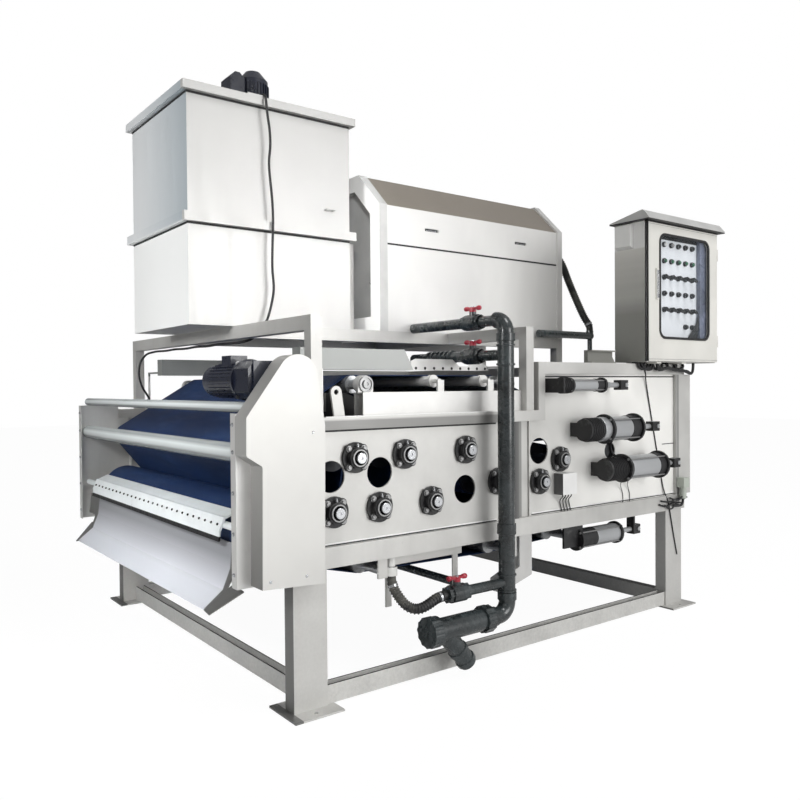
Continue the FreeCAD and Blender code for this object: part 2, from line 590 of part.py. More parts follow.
def upper_frame():
    """Posts on the side frames and the beams that carry the tank and the drum thickener."""
    posts = []
    for side in SIDES:
        y = side_y(side, "post_inset", "post_wide")
        for x in ("post_left_x", "post_mid_x"):
            posts.append(block(x, y, "left_bay_top", "post_wide", "post_wide", "post_top - left_bay_top"))
    for y in ("drum_front", "long_beam_back_y"):
        posts.append(block(POST_RIGHT, y, "right_bay_top", "post_wide", "post_wide",
                           f"{BEAM_LOW} - right_bay_top"))
    stub_low = block("tank_left + tank_long + dark_post_gap", "drum_front + post_wide", BEAM_LOW,
                     "dark_post_wide", "dark_post_y + dark_post_wide - drum_front - post_wide", "beam_high")
    posts.append(fuse(stub_low, block("tank_left + tank_long + dark_post_gap", "dark_post_y", "post_top",
                                      "dark_post_wide", "dark_post_wide", "tank_lower_top - post_top")))
    keep("upper_posts", *posts)
    inner = "(post_inset + post_wide)"
    across = [block(x, inner, BEAM_LOW, "post_wide", f"frame_width - 2*{inner}", "beam_high")
              for x in ("post_left_x", "post_mid_x")]
    across.append(block(POST_RIGHT, "member_deep", RIGHT_LOW, "post_wide", "frame_width - 2*member_deep",
                        f"right_bay_top - {RIGHT_LOW}"))
    keep("upper_cross_beams", *across)
    stringers = []
    for y in ("drum_front", "long_beam_back_y"):
        for start, end in (("post_left_x", "post_mid_x"), ("post_mid_x", f"({POST_RIGHT} + post_wide)")):
            left = f"({start} + post_wide)"
            stringers.append(block(left, y, BEAM_LOW, f"{end} - {left}", "post_wide", "beam_high"))
    keep("upper_long_beams", *stringers)


def roller(x, z, radius):
    """A tube roller whose shaft goes through both side plates and their housings."""
    inset = "(side_plate_inset - housing_flange_thick - housing_hub_long - shaft_stub)"
    return short_roller(x, z, radius, inset)


def short_roller(x, z, radius, inset):
    """A roller whose shaft ends at a given distance from each side."""
    face_y = "(frame_width/2 - roller_face/2)"
    body = rod(x, face_y, z, f"2*{radius}", "roller_face", "y")
    shaft = rod(x, inset, z, "shaft_dia", f"frame_width - 2*({inset})", "y")
    return fuse(body, shaft)


def rollers():
    keep("press_rollers", *[roller(x, z, radius) for x, z, radius, way in PRESS_ROLLERS[:9]])
    hood_bearing = "(hood_wall_y - housing_flange_thick - housing_hub_long - shaft_stub)"
    keep("discharge_drum", short_roller(*PRESS_ROLLERS[9][:3], hood_bearing))
    guides = [short_roller(*UPPER_RETURN[0][:3], HOOD_INNER)]
    guides += [short_roller(x, z, radius, "gravity_roller_inset") for x, z, radius, way in UPPER_RETURN[1:3]]
    guides += [short_roller(x, z, radius, PLATE_INNER) for x, z, radius, way in
               (UPPER_RETURN[3], LOWER_RETURN[3], LOWER_RETURN[4])]
    guides += [short_roller(x, z, radius, "(hanger_inset + hanger_thick)") for x, z, radius, way in
               LOWER_RETURN[:3]]
    keep("guide_rollers", *guides)
    keep("free_roller", rod("free_roller_x", HOOD_INNER, "free_roller_z", "free_roller_dia",
                            f"frame_width - 2*{HOOD_INNER}", "y"))


def bearing(side, x, z, seat):
    """A round flanged housing whose flange sits on a plate, with the bore for the shaft."""
    bore = "(shaft_dia + 2*shaft_gap)"
    start = seat
    discs = []
    for dia, long in (("housing_flange_dia", "housing_flange_thick"), ("housing_hub_dia", "housing_hub_long")):
        if side == "front":
            start = f"({start} - {long})"
            discs.append(rod(x, start, z, dia, long, "y"))
        else:
            discs.append(rod(x, f"(frame_width - ({start}))", z, dia, long, "y"))
            start = f"({start} - {long})"
    deep = "(housing_flange_thick + housing_hub_long + 2*cut_over)"
    hole_y = f"({seat} - {deep} + cut_over)" if side == "front" else f"(frame_width - ({seat}) - cut_over)"
    return cut(fuse(*discs), rod(x, hole_y, z, bore, deep, "y"))


def bearings():
    for side in SIDES:
        seats = [bearing(side, x, z, "side_plate_inset") for x, z, radius, way in PRESS_ROLLERS[:9]]
        seats.append(bearing(side, "discharge_x", "discharge_z", "hood_wall_y"))
        keep(f"bearings_{side}", *seats)


def belt_band(stops):
    """The closed line of a belt round its rollers, from the tangent lines between them.

    A stop is (x, z, radius of the line, turn), turn 1 where the belt runs
    anticlockwise round the roller and -1 where it runs clockwise.
    """
    count = len(stops)
    departs, arrives = [None] * count, [None] * count
    for index in range(count):
        x1, z1, r1, turn1 = stops[index]
        x2, z2, r2, turn2 = stops[(index + 1) % count]
        gap = math.hypot(x2 - x1, z2 - z1)
        heading = math.atan2(z2 - z1, x2 - x1)
        heading += math.asin((turn1 * r1 - turn2 * r2) / gap)
        side_x, side_z = math.sin(heading), -math.cos(heading)
        departs[index] = (x1 + side_x * r1 * turn1, z1 + side_z * r1 * turn1)
        arrives[(index + 1) % count] = (x2 + side_x * r2 * turn2, z2 + side_z * r2 * turn2)
    edges = []
    for index in range(count):
        x, z, radius, turn = stops[index]
        start, end = arrives[index], departs[index]
        begin = math.atan2(start[1] - z, start[0] - x)
        finish = math.atan2(end[1] - z, end[0] - x)
        sweep = (finish - begin) * turn % (2 * math.pi)
        middle = begin + turn * sweep / 2
        crown = Vector(x + radius * math.cos(middle), 0, z + radius * math.sin(middle))
        edges.append(Part.Arc(Vector(start[0], 0, start[1]), crown, Vector(end[0], 0, end[1])).toShape())
        following = arrives[(index + 1) % count]
        edges.append(Part.LineSegment(Vector(end[0], 0, end[1]),
                                      Vector(following[0], 0, following[1])).toShape())
    return Part.Wire(edges)


def belt(label, stops, outward):
    """One endless belt: the band between its inner and outer line, as wide as the belt."""
    thick = size("belt_thick")
    inner = belt_band(stops)
    outer = belt_band([(x, z, radius + outward * turn * thick, turn) for x, z, radius, turn in stops])
    larger, smaller = (outer, inner) if Part.Face(outer).Area > Part.Face(inner).Area else (inner, outer)
    face = Part.Face([larger, smaller])
    face.validate()
    band = document.addObject("Part::Feature", label)
    band.Shape = face.extrude(Vector(0, size("belt_width"), 0))
    place(band, "0", "(frame_width - belt_width)/2", "0")
    return keep(label, band)


def belts():
    """Both belts share the roller path of the press zone, one on each side of its middle line."""
    thick = size("belt_thick")

    def stop(row, turn):
        return (size(row[0]), size(row[1]), size(row[2]) + thick, turn)

    # the belts run towards the discharge end, so over a roller is anticlockwise
    press = [stop(row, 1 if row[3] == "over" else -1) for row in PRESS_ROLLERS]
    # the upper belt leaves at the last press roller, the lower one goes on round the discharge drum
    lower, upper = list(press), press[:-1]
    # the returns: the lower belt keeps anticlockwise, the upper belt runs clockwise back over the top
    lower += [stop(row, 1) for row in LOWER_RETURN]
    upper += [stop(row, -1) for row in UPPER_RETURN]
    belt("lower_belt", lower, -1)
    belt("upper_belt", upper, 1)


def gravity_table():
    """The upper side of the gravity zone: side trays, table tubes under the belt and the seal plates."""
    pieces = []
    tube_z = "(gravity_z + gravity_radius - table_belt_gap - table_tube_dia/2)"
    tubes_x = ["table_first_x", "(table_first_x + table_pitch)"]
    for side in SIDES:
        section = [("0", "left_bay_top"), ("tray_wall", "left_bay_top"), ("tray_wall", "tray_top - tray_wall"),
                   ("tray_deep - tray_wall", "tray_top - tray_wall"), ("tray_deep - tray_wall", "left_bay_top"),
                   ("tray_deep", "left_bay_top"), ("tray_deep", "tray_top"), ("0", "tray_top")]
        tray = [profile("end", section, "post_mid_x - tray_left", x="tray_left",
                        y=side_y(side, "tray_inset", "tray_deep"))]
        for x in tubes_x:
            tray.append(block(f"{x} - rest_wide/2", side_y(side, "rest_inset", "rest_thick"), "tray_top",
                              "rest_wide", "rest_thick", "rest_high"))
        journal_in = "(gravity_roller_inset - gravity_journal_long)"
        for x in ("gravity_first_x", "gravity_last_x"):
            y = side_y(side, journal_in, "gravity_journal_long")
            tray.append(rod(x, y, "gravity_z", "gravity_journal_dia", "gravity_journal_long", "y"))
            tray.append(block(f"{x} - gravity_journal_dia/2", side_y(side, journal_in, "rest_thick"),
                              "tray_top", "gravity_journal_dia", "rest_thick", "gravity_z - tray_top"))
        pieces.append(fuse(*tray, *seal_plate(side)))
    for x in tubes_x:
        reach = "(rest_inset + rest_thick)"
        tube = [rod(x, "table_tube_inset", tube_z, "table_tube_dia", "frame_width - 2*table_tube_inset", "y"),
                rod(x, reach, tube_z, "rest_pin_dia", f"frame_width - 2*{reach}", "y")]
        for side in SIDES:
            tube.append(rod(x, side_y(side, "table_tube_inset", "table_collar_long"), tube_z,
                            "table_collar_dia", "table_collar_long", "y"))
        pieces.append(fuse(*tube))
    keep("gravity_table", *pieces)


def seal_plate(side):
    """The inlet box and the scalloped seal plate above one belt edge, with the uprights that hold them."""
    low = "box_low"
    high = "(box_low + plough_high)"
    teeth = [("plough_left", low), ("plough_right", low), ("plough_right", high)]
    x = "(plough_right - plough_step)"
    teeth += [(x, f"{high} + plough_tooth/2"), (f"({x} - plough_tooth_wide/2)", f"{high} + plough_tooth/2"),
              (f"({x} - plough_tooth_wide/2 - plough_step)", high),
              (f"({x} - plough_tooth_wide - plough_step)", high),
              (f"({x} - plough_tooth_wide - 2*plough_step)", f"{high} + plough_tooth"),
              ("(plough_left + 2*plough_step)", f"{high} + plough_tooth"), ("plough_left", high)]
    plate = profile("side", teeth, "plough_thick", y=side_y(side, "plough_y", "plough_thick"))
    box = profile("side", [("box_left", low), ("box_right + box_slant", low),
                           ("box_right", f"{low} + box_high"), ("box_left", f"{low} + box_high")],
                  "box_deep", y=side_y(side, "box_y", "box_deep"))
    parts = [plate, box]
    for x in ("box_left", "(plough_right - hanger_thick)"):
        base = "tray_top" if x != "box_left" else "left_bay_top"
        inset = "(tray_inset + tray_deep - hanger_thick)" if x != "box_left" else "(member_deep - hanger_thick)"
        parts.append(block(x, side_y(side, inset, "hanger_thick"), base, "hanger_thick", "hanger_thick",
                           f"{low} + plough_high - {base}"))
        deep = f"(plough_y + plough_thick - {inset})"
        parts.append(block(x, side_y(side, inset, deep), f"{low} + plough_high - hanger_thick", "hanger_thick",
                           deep, "hanger_thick"))
    return parts


def mixing_tank():
    """A square two-tier flocculation tank of thin sheet with a flanged joint and a lidded rim."""
    def shell(low, high):
        outside = block("tank_left", "tank_front", low, "tank_long", "tank_deep", f"({high}) - ({low})")
        inside = block("tank_left + tank_wall", "tank_front + tank_wall", low, "tank_long - 2*tank_wall",
                       "tank_deep - 2*tank_wall", f"({high}) - ({low})")
        return cut(outside, inside)

    def slab(low, high, out):
        return block(f"tank_left - {out}", f"tank_front - {out}", low, f"tank_long + 2*{out}",
                     f"tank_deep + 2*{out}", f"({high}) - ({low})")
    keep("tank_floor", slab("tank_bottom", "tank_bottom + tank_wall", "0"))
    keep("tank_lower", shell("tank_bottom + tank_wall", "tank_lower_top"))
    opening = block("tank_left + tank_wall", "tank_front + tank_wall", "tank_lower_top - cut_over",
                    "tank_long - 2*tank_wall", "tank_deep - 2*tank_wall",
                    "tank_upper_bottom - tank_lower_top + 2*cut_over")
    keep("tank_mid_rim", cut(slab("tank_lower_top", "tank_upper_bottom", "rim_out"), opening))
    grip_y = "(tank_front - tank_handle_out)"
    grip = [rod("tank_handle_x", grip_y, "tank_handle_z", "tank_handle_dia", "tank_handle_long", "x")]
    for x in ("tank_handle_x + tank_handle_dia/2", "tank_handle_x + tank_handle_long - tank_handle_dia/2"):
        grip.append(rod(x, grip_y, "tank_handle_z", "tank_handle_dia", "tank_handle_out", "y"))
    keep("tank_upper", fuse(shell("tank_upper_bottom", "tank_top"), *grip))
    lid = "(tank_top + lid_high)"
    hatch = block("hatch_plate_x", "tank_front - rim_out", lid, "hatch_plate_long", "hatch_plate_deep",
                  "hatch_plate_thick")
    keep("tank_lid", fuse(slab("tank_top", "tank_top + lid_high", "rim_out"), hatch))
    body = rod("mixer_x", "mixer_y", lid, "mixer_dia", "mixer_high")
    crown = taper("mixer_x", "mixer_y", f"{lid} + mixer_high", "mixer_dia", "mixer_dia/2", "mixer_crown")
    left, right = "mixer_head_left", "(mixer_head_left + mixer_head_wide)"
    top, slant = f"({lid} + mixer_head_high)", "mixer_head_chamfer"
    head = profile("side", [(left, lid), (right, lid), (right, f"{top} - {slant}"), (f"{right} - {slant}", top),
                            (f"{left} + {slant}", top), (left, f"{top} - {slant}")],
                   "mixer_head_deep", y="mixer_y - mixer_head_deep/2")
    neck = block(right, "mixer_y - mixer_neck_deep/2", lid, f"mixer_x - {right}", "mixer_neck_deep",
                 "mixer_neck_high")
    keep("mixer_motor", fuse(body, crown, head, neck))


def drum_thickener():
    """The closed housing of the rotary drum thickener, with its framed left end and flanged right end."""
    back = "(drum_front + drum_deep)"
    ridge_back = "(drum_front + drum_deep - (drum_ridge_y - drum_front))"

    def section(out, foot="0"):
        return [(f"drum_front - {out}", f"drum_bottom - {foot}"), (f"{back} + {out}", f"drum_bottom - {foot}"),
                (f"{back} + {out}", f"drum_eave + {out}/2"), (f"{ridge_back} + {out}/2", f"drum_top + {out}"),
                (f"drum_ridge_y - {out}/2", f"drum_top + {out}"),
                (f"drum_front - {out}", f"drum_eave + {out}/2")]
    start = f"({DRUM_LEFT} + end_frame_deep)"
    long = f"({DRUM_RIGHT} - right_flange_thick - {start})"
    hull = profile("end", section("0"), long, x=start)
    marks = [block(start, "drum_front - cut_over", "seam_z", long, "seam_deep + cut_over", "seam_high")]
    for offset in ("flap_handle_first", "flap_handle_second"):
        marks.append(block(f"{DRUM_LEFT} + {offset}", "drum_front - cut_over", "flap_handle_z",
                           "flap_handle_long", "flap_handle_deep + cut_over", "flap_handle_high"))
    keep("thickener_housing", cut(hull, *marks))
    inner = "(-end_frame_wide)"
    pocket = profile("end", section(inner, inner), "end_frame_deep - end_frame_back + cut_over",
                     x=f"{DRUM_LEFT} - cut_over")
    frame = cut(profile("end", section("end_frame_out"), "end_frame_deep", x=DRUM_LEFT), pocket)
    strut = profile("end", [("strut_low_y", "strut_low_z"), ("strut_low_y + strut_wide", "strut_low_z"),
                            ("strut_high_y", "strut_high_z"), ("strut_high_y - strut_wide", "strut_high_z")],
                    "strut_thick", x=f"{DRUM_LEFT} + end_frame_deep - end_frame_back - strut_thick")
    keep("thickener_end_left", fuse(frame, strut))
    keep("thickener_end_right", profile("end", section("right_flange_out"), "right_flange_thick",
                                        x=f"{DRUM_RIGHT} - right_flange_thick"))


def cabinet():
    """The wall cabinet with its hinged, glazed door, inner panel and rain roof."""
    back_y = "(cabinet_front + door_thick)"
    back, top = "(cabinet_front + cabinet_deep)", "(cabinet_bottom + cabinet_high)"
    outside = block("cabinet_left", back_y, "cabinet_bottom", "cabinet_wide",
                    "cabinet_deep - door_thick", "cabinet_high")
    inside = block("cabinet_left + cabinet_wall", f"{back_y} - cut_over", "cabinet_bottom + cabinet_wall",
                   "cabinet_wide - 2*cabinet_wall", "cabinet_deep - door_thick - cabinet_wall + cut_over",
                   "cabinet_high - 2*cabinet_wall")
    door_left, door_wide = "(cabinet_left + door_gap)", "(cabinet_wide - 2*door_gap)"
    door_low, door_high = "(cabinet_bottom + door_gap)", "(cabinet_high - 2*door_gap)"
    leaf = block(door_left, "cabinet_front", door_low, door_wide, "door_thick - door_gap", door_high)
    pane_left = f"({door_left} + window_margin_left)"
    pane_right = f"({door_left} + {door_wide} - window_margin_right)"
    pane_low = f"({door_low} + window_margin_low)"
    pane_top = f"({door_low} + {door_high} - window_margin_top)"
    pane = [(pane_left, pane_low), (pane_right, pane_low), (pane_right, pane_top), (pane_left, pane_top)]
    rounds = [("window_corner", range(len(pane)))]
    hole = profile("side", pane, "door_thick + 2*cut_over", y="cabinet_front - cut_over", rounds=rounds)
    # hinge knuckles: the lower one of each pair on the cabinet, the upper one on the door
    right = "(cabinet_left + cabinet_wide)"
    hinge_x, hinge_y = f"({right} + hinge_out)", "(cabinet_front + hinge_out)"
    low, cowl_top, cowl_left = f"({top} - cowl_high)", f"({top} - cowl_top)", "(cabinet_left - cowl_out)"
    cowl = profile("side", [(cowl_left, f"{low} + cowl_rise"), ("cabinet_left", low),
                            ("cabinet_left", cowl_top), (cowl_left, cowl_top)],
                   "cowl_wide", y=f"{back} - cowl_back - cowl_wide", rounds=[("cowl_rise", (3,))])
    body_pieces, door_pieces = [cut(outside, inside), cowl], [cut(leaf, hole)]
    door_pieces.append(block("cabinet_left + door_lock_x", "cabinet_front - door_lock_out",
                             "cabinet_bottom + door_lock_z", "door_lock_wide", "door_lock_out",
                             "door_lock_high"))
    for low in ("(cabinet_bottom + hinge_end)", f"({top} - hinge_end - 2*hinge_high)"):
        body_pieces.append(rod(hinge_x, hinge_y, low, "hinge_dia", "hinge_high"))
        body_pieces.append(block(right, hinge_y, low, "hinge_tab", "door_thick + hinge_leaf_more",
                                 "hinge_high"))
        high = f"({low} + hinge_high + hinge_clear)"
        door_pieces.append(rod(hinge_x, hinge_y, high, "hinge_dia", "hinge_high"))
        door_pieces.append(block(f"{right} - door_gap", "cabinet_front", high, "door_gap + hinge_out",
                                 "hinge_tab", "hinge_high"))
    keep("cabinet_body", fuse(*body_pieces))
    keep("cabinet_door", fuse(*door_pieces))
    keep("cabinet_window", profile("side", pane, "glass_thick", y="cabinet_front + glass_thick", rounds=rounds))
    panel_y = f"({back_y} + cabinet_panel_back)"
    panel = [block("cabinet_left + cabinet_wall", panel_y, "cabinet_bottom + cabinet_wall",
                   "cabinet_wide - 2*cabinet_wall", "cabinet_wall", "cabinet_high - 2*cabinet_wall")]
    for column in range(round(size("button_columns"))):
        more = 1 if column >= round(size("last_row_from")) else 0
        for row in range(round(size("button_rows")) + more):
            panel.append(rod(f"cabinet_left + button_left + {column}*button_pitch", f"{panel_y} - button_long",
                             f"{top} - button_top - {row}*button_row", "button_dia", "button_long", "y"))
    keep("cabinet_panel", fuse(*panel))
    nose = "(cabinet_front - roof_out)"
    roof = [(nose, top), (f"{back} + roof_back_out", top), (f"{back} + roof_back_out", f"{top} + roof_lip"),
            ("cabinet_front + roof_front_in", f"{top} + roof_high"), (nose, f"{top} + roof_lip")]
    keep("cabinet_roof", profile("end", roof, "cabinet_wide + 2*roof_side", x="cabinet_left - roof_side",
                                 rounds=[("roof_round", (3,))]))
    carriers = [block(x, back_y, "right_bay_top", "cabinet_foot_wide",
                      "cabinet_deep - door_thick", "cabinet_bottom - right_bay_top")
                for x in ("cabinet_left + cabinet_foot_in", "cabinet_left + cabinet_wide/2")]
    channel_right = "(channel_left + channel_long)"
    channel = cut(block("channel_left", "channel_inset", "right_bay_top", "channel_long", "channel_deep",
                        "channel_high"),
                  block("channel_left - cut_over", "channel_inset - cut_over", "right_bay_top + channel_wall",
                        "channel_long + 2*cut_over", "channel_web + cut_over", "channel_high - 2*channel_wall"))
    gusset = profile("side", [(channel_right, "right_bay_top"),
                              (f"{channel_right} + gusset_long", "right_bay_top"),
                              (channel_right, "right_bay_top + channel_high")], "channel_wall",
                     y="channel_inset + channel_deep - channel_wall")
    keep("cabinet_brackets", *carriers, fuse(channel, gusset))


def hood():
    """The side walls of the discharge hood, the drive guard and the bar between the walls."""
    for side in SIDES:
        outline = [("hood_left", "hood_bottom"), ("0", "hood_bottom"), ("0", PLATE_LOW),
                   ("left_column_x", PLATE_LOW), ("left_column_x", LEFT_LOW), ("0", LEFT_LOW),
                   ("0", "hood_top"), ("hood_left", "hood_top")]
        wall = profile("side", outline, "hood_sheet", y=side_y(side, "hood_wall_y", "hood_sheet"),
                       holes=[("discharge_x", "discharge_z", "shaft_hole")])
        flange = block("hood_left", side_y(side, "hood_wall_y", "hood_flange"), "hood_bottom", "hood_sheet",
                       "hood_flange", "hood_top - hood_bottom")
        keep(f"hood_wall_{side}", fuse(wall, flange))
    guard = [("guard_low_left", "guard_low_z"), ("guard_knee_x", "guard_knee_z"),
             ("guard_nose_low_x", "guard_nose_low_z"), ("guard_nose_x", "guard_nose_z"),
             ("guard_apex_x", "guard_apex_z"), ("guard_right_x", "guard_right_z"),
             ("guard_foot_x", "guard_foot_z")]
    cover = profile("side", guard, "guard_front + hood_wall_y", y="-guard_front",
                    rounds=[("guard_apex_radius", (4,)), ("guard_soft", (1, 2, 3))])
    hollow = open_shell(cover, "guard_wall", lambda faces: max(faces, key=lambda face: face.CenterOfMass.y))
    over_frame = block("0", "0", "guard_foot_z - cut_over", "guard_right_x + cut_over",
                       "hood_wall_y + cut_over",
                       "guard_apex_z - guard_foot_z")
    keep("drive_guard", cut(hollow, over_frame))
    keep("tie_bar", rod("tie_bar_x", "hood_wall_y", "hood_top + tie_bar_dia/2", "tie_bar_dia",
                        "frame_width - 2*hood_wall_y", "y"))


def discharge():
    """The scraper blade under the drum and the winged chute that takes the cake away."""
    belt_y = "(frame_width - belt_width)/2"
    blade = [profile("side", outline, "belt_width", y=belt_y) for outline in (
        [("plate_tip_x", "plate_tip_z"), ("plate_edge_x", "plate_edge_z"),
         ("plate_edge_x", "plate_edge_z + plate_thick"), ("plate_tip_x", "plate_tip_z + plate_thick")],
        [("plate_edge_x", "plate_edge_z + plate_thick"), ("strip_low_x", "strip_low_z"),
         ("strip_low_x - strip_thick", "strip_low_z"),
         ("plate_edge_x - strip_thick", "plate_edge_z + plate_thick")],
        [("strip_low_x", "strip_low_z"), ("rubber_low_x", "rubber_low_z"),
         ("rubber_low_x - rubber_thick", "rubber_low_z"), ("strip_low_x - rubber_thick", "strip_low_z")])]
    bar = rod("scraper_bar_x", HOOD_INNER, "scraper_bar_z", "scraper_bar_dia",
              f"frame_width - 2*{HOOD_INNER}", "y")
    keep("scraper", fuse(*blade, bar))
    band = [("chute_lip_x", "chute_lip_z"), ("chute_fold_x", "chute_fold_z"), ("chute_knee_x", "chute_knee_z"),
            ("chute_top_x", "chute_top_z"), ("chute_top_x - chute_sheet", "chute_top_z"),
            ("chute_knee_x - chute_sheet", "chute_knee_z"),
            ("chute_fold_x - chute_sheet", "chute_fold_z + chute_sheet/2"),
            ("chute_lip_x", "chute_lip_z + chute_sheet")]
    floor = profile("side", band, f"frame_width - 2*{HOOD_INNER}", y=HOOD_INNER)
    near = [("chute_lip_x - cut_over", "chute_lip_in"), ("chute_wing_x", "chute_back_in"),
            ("chute_wing_x", HOOD_INNER), ("chute_top_x + cut_over", HOOD_INNER)]
    far = [(x, f"(frame_width - {y})") for x, y in reversed(near)]
    plan = profile("plan", near + far, "chute_top_z - chute_lip_z + 2*cut_over", z="chute_lip_z - cut_over")
    wings = []
    for side in SIDES:
        ends = []
        for inset, out, z in (("chute_lip_in", "chute_wing_out", "chute_lip_z"),
                              ("chute_back_in", "chute_wing_back_out", "chute_wing_back_z")):
            strip = [(f"({inset} + 2*chute_sheet)", z), (f"({inset} + 2*chute_sheet)", f"{z} + chute_sheet"),
                     (f"({inset} - {out})", f"{z} - chute_wing_drop + chute_sheet"),
                     (f"({inset} - {out})", f"{z} - chute_wing_drop")]
            ends.append([(y if side == "front" else f"(frame_width - {y})", height) for y, height in strip])
        wings.append(loft_along_x(ends[0], "chute_lip_x", ends[1], "chute_wing_x"))
    keep("discharge_chute", fuse(overlap(floor, plan), *wings))


def drive():
    """The gear motor on its plate above the front hood wall."""
    plate_left = "(tie_bar_x + tie_bar_dia/2 + cut_over)"
    plate = block(plate_left, "hood_wall_y", "hood_top", f"motor_x + gearbox_wide/2 - {plate_left}",
                  "motor_plate_thick", "motor_z + gearbox_wide/2 - hood_top")
    start = "(hood_wall_y + motor_plate_thick)"
    half, slant = "gearbox_wide/2", "gearbox_chamfer"
    corners = []
    for along, up in ((1, 1), (1, -1), (-1, -1), (-1, 1)):
        near = (f"motor_x + {along}*{half}", f"motor_z + {up}*({half} - {slant})")
        far = (f"motor_x + {along}*({half} - {slant})", f"motor_z + {up}*{half}")
        corners += [far, near] if along == up else [near, far]
    pieces = [plate, profile("side", corners, "gearbox_long", y=start)]
    start += " + gearbox_long"
    for dia, long in (("ring_dia", "ring_long"), ("motor_dia", "motor_long"), ("cowl_dia", "cowl_long")):
        pieces.append(rod("motor_x", start, "motor_z", dia, long, "y"))
        start += f" + {long}"
    pieces.append(block("motor_x - terminal_wide/2",
                        "hood_wall_y + motor_plate_thick + gearbox_long + ring_long "
                        "+ motor_long/2 - terminal_long/2", "motor_z + motor_dia/2 - terminal_high/3",
                        "terminal_wide", "terminal_long", "terminal_high"))
    keep("gear_motor", fuse(*pieces))


def cylinder(side, z, name, disc, barrel, bellows, inset, seat):
    """A pneumatic cylinder along the machine: bellows, barrel between two discs, rod and fork end."""
    left, body, end, fork = (f"{name}_{part}" for part in ("left", "body", "end", "fork"))
    y = inset if side == "front" else f"(frame_width - ({inset}))"
    pieces = [rod(f"{body} - disc_thick", y, z, disc, "disc_thick", "x"),
              rod(body, y, z, barrel, f"{end} - {body}", "x"),
              rod(end, y, z, disc, "disc_thick", "x"),
              rod(end, y, z, "rod_dia", f"{fork} - fork_long - {end}", "x")]
    fork_body = block(f"{fork} - fork_long", f"{y} - fork_deep/2", f"{z} - fork_high/2", "fork_long",
                      "fork_deep",
                      "fork_high")
    slot = block(f"{fork} - fork_long/2", f"{y} - fork_deep/2 - cut_over", f"{z} - fork_slot/2",
                 "fork_long/2 + cut_over", "fork_deep + 2*cut_over", "fork_slot")
    pieces.append(cut(fork_body, slot))
    if seat == "plate":
        pieces.append(rod(left, y, z, bellows, f"{body} - {left}", "x"))
        reach = f"({inset} - bracket_high/2)"
        pieces.append(block(left, side_y(side, reach, f"(side_plate_inset - {reach})"), f"{z} - bracket_high/2",
                            "bracket_thick", f"side_plate_inset - {reach}", "bracket_high"))
        reach = f"({inset} - fork_deep/2)"
        pieces.append(rod(f"{fork} - fork_long/2", side_y(side, reach, f"(side_plate_inset - {reach})"), z,
                          "rod_dia", f"side_plate_inset - {reach}", "y"))
    else:
        pieces.append(block(left, side_y(side, "side_plate_inset - bracket_thick", "bracket_thick"),
                            f"{z} - track_plate_high/2", "track_plate_long", "bracket_thick",
                            f"leg_top - {z} + track_plate_high/2"))
        pieces.append(block(f"{fork} - fork_long", f"{y} - fork_deep/2", z, "bracket_thick", "fork_deep",
                            f"leg_top - {z}"))
    return fuse(*pieces)


def pneumatics():
    """The belt tension cylinders on both sides, the belt tracking cylinder and the air unit."""
    units = []
    for side in SIDES:
        out = "(-cylinder_out)"
        units.append(cylinder(side, "cyl_one_z", "cyl_one", "small_disc_dia", "small_barrel_dia",
                              "small_bellows_dia", out, "plate"))
        for name in ("cyl_two", "cyl_three"):
            units.append(cylinder(side, f"{name}_z", name, "large_disc_dia", "large_barrel_dia",
                                  "large_bellows_dia", out, "plate"))
    units.append(cylinder("front", "track_z", "track", "track_disc_dia", "track_dia", "track_bellows_dia",
                          "track_inset", "rail"))
    unit = [block("air_unit_x", "-air_unit_deep", "air_unit_low", "air_unit_wide", "air_unit_deep",
                  "air_unit_high"),
            rod("air_unit_x + air_unit_wide/2", "-air_unit_deep/2", "air_unit_low - air_bowl_long",
                "air_bowl_dia",
                "air_bowl_long")]
    units.append(fuse(*unit))
    keep("tension_cylinders", *units)


def ball_valve(label, x, y, z, along):
    """A ball valve round a branch pipe, with its union nuts, and its lever in a node of its own."""
    shell = []
    for back, dia, long in (("valve_long/2 + nut_long", "nut_dia", "nut_long"),
                            ("valve_long/2", "valve_dia", "valve_long"),
                            ("-valve_long/2", "nut_dia", "nut_long")):
        if along == "x":
            shell.append(rod(f"{x} - ({back})", y, z, dia, long, "x"))
        else:
            shell.append(rod(x, f"{y} - ({back})", z, dia, long, "y"))
    bonnet = rod(x, y, z, "bonnet_dia", "bonnet_top")
    seat = f"({z} + bonnet_top + valve_clear)"
    hub = rod(x, y, seat, "bonnet_dia", "lever_hub")
    long, wide = ("lever_long", "lever_wide") if along == "x" else ("lever_wide", "lever_long")
    lever = block(f"{x} - {long}/2", f"{y} - {wide}/2", f"{seat} + lever_hub - lever_thick", long, wide,
                  "lever_thick")
    keep(label, fuse(hub, lever))
    return shell + [bonnet]


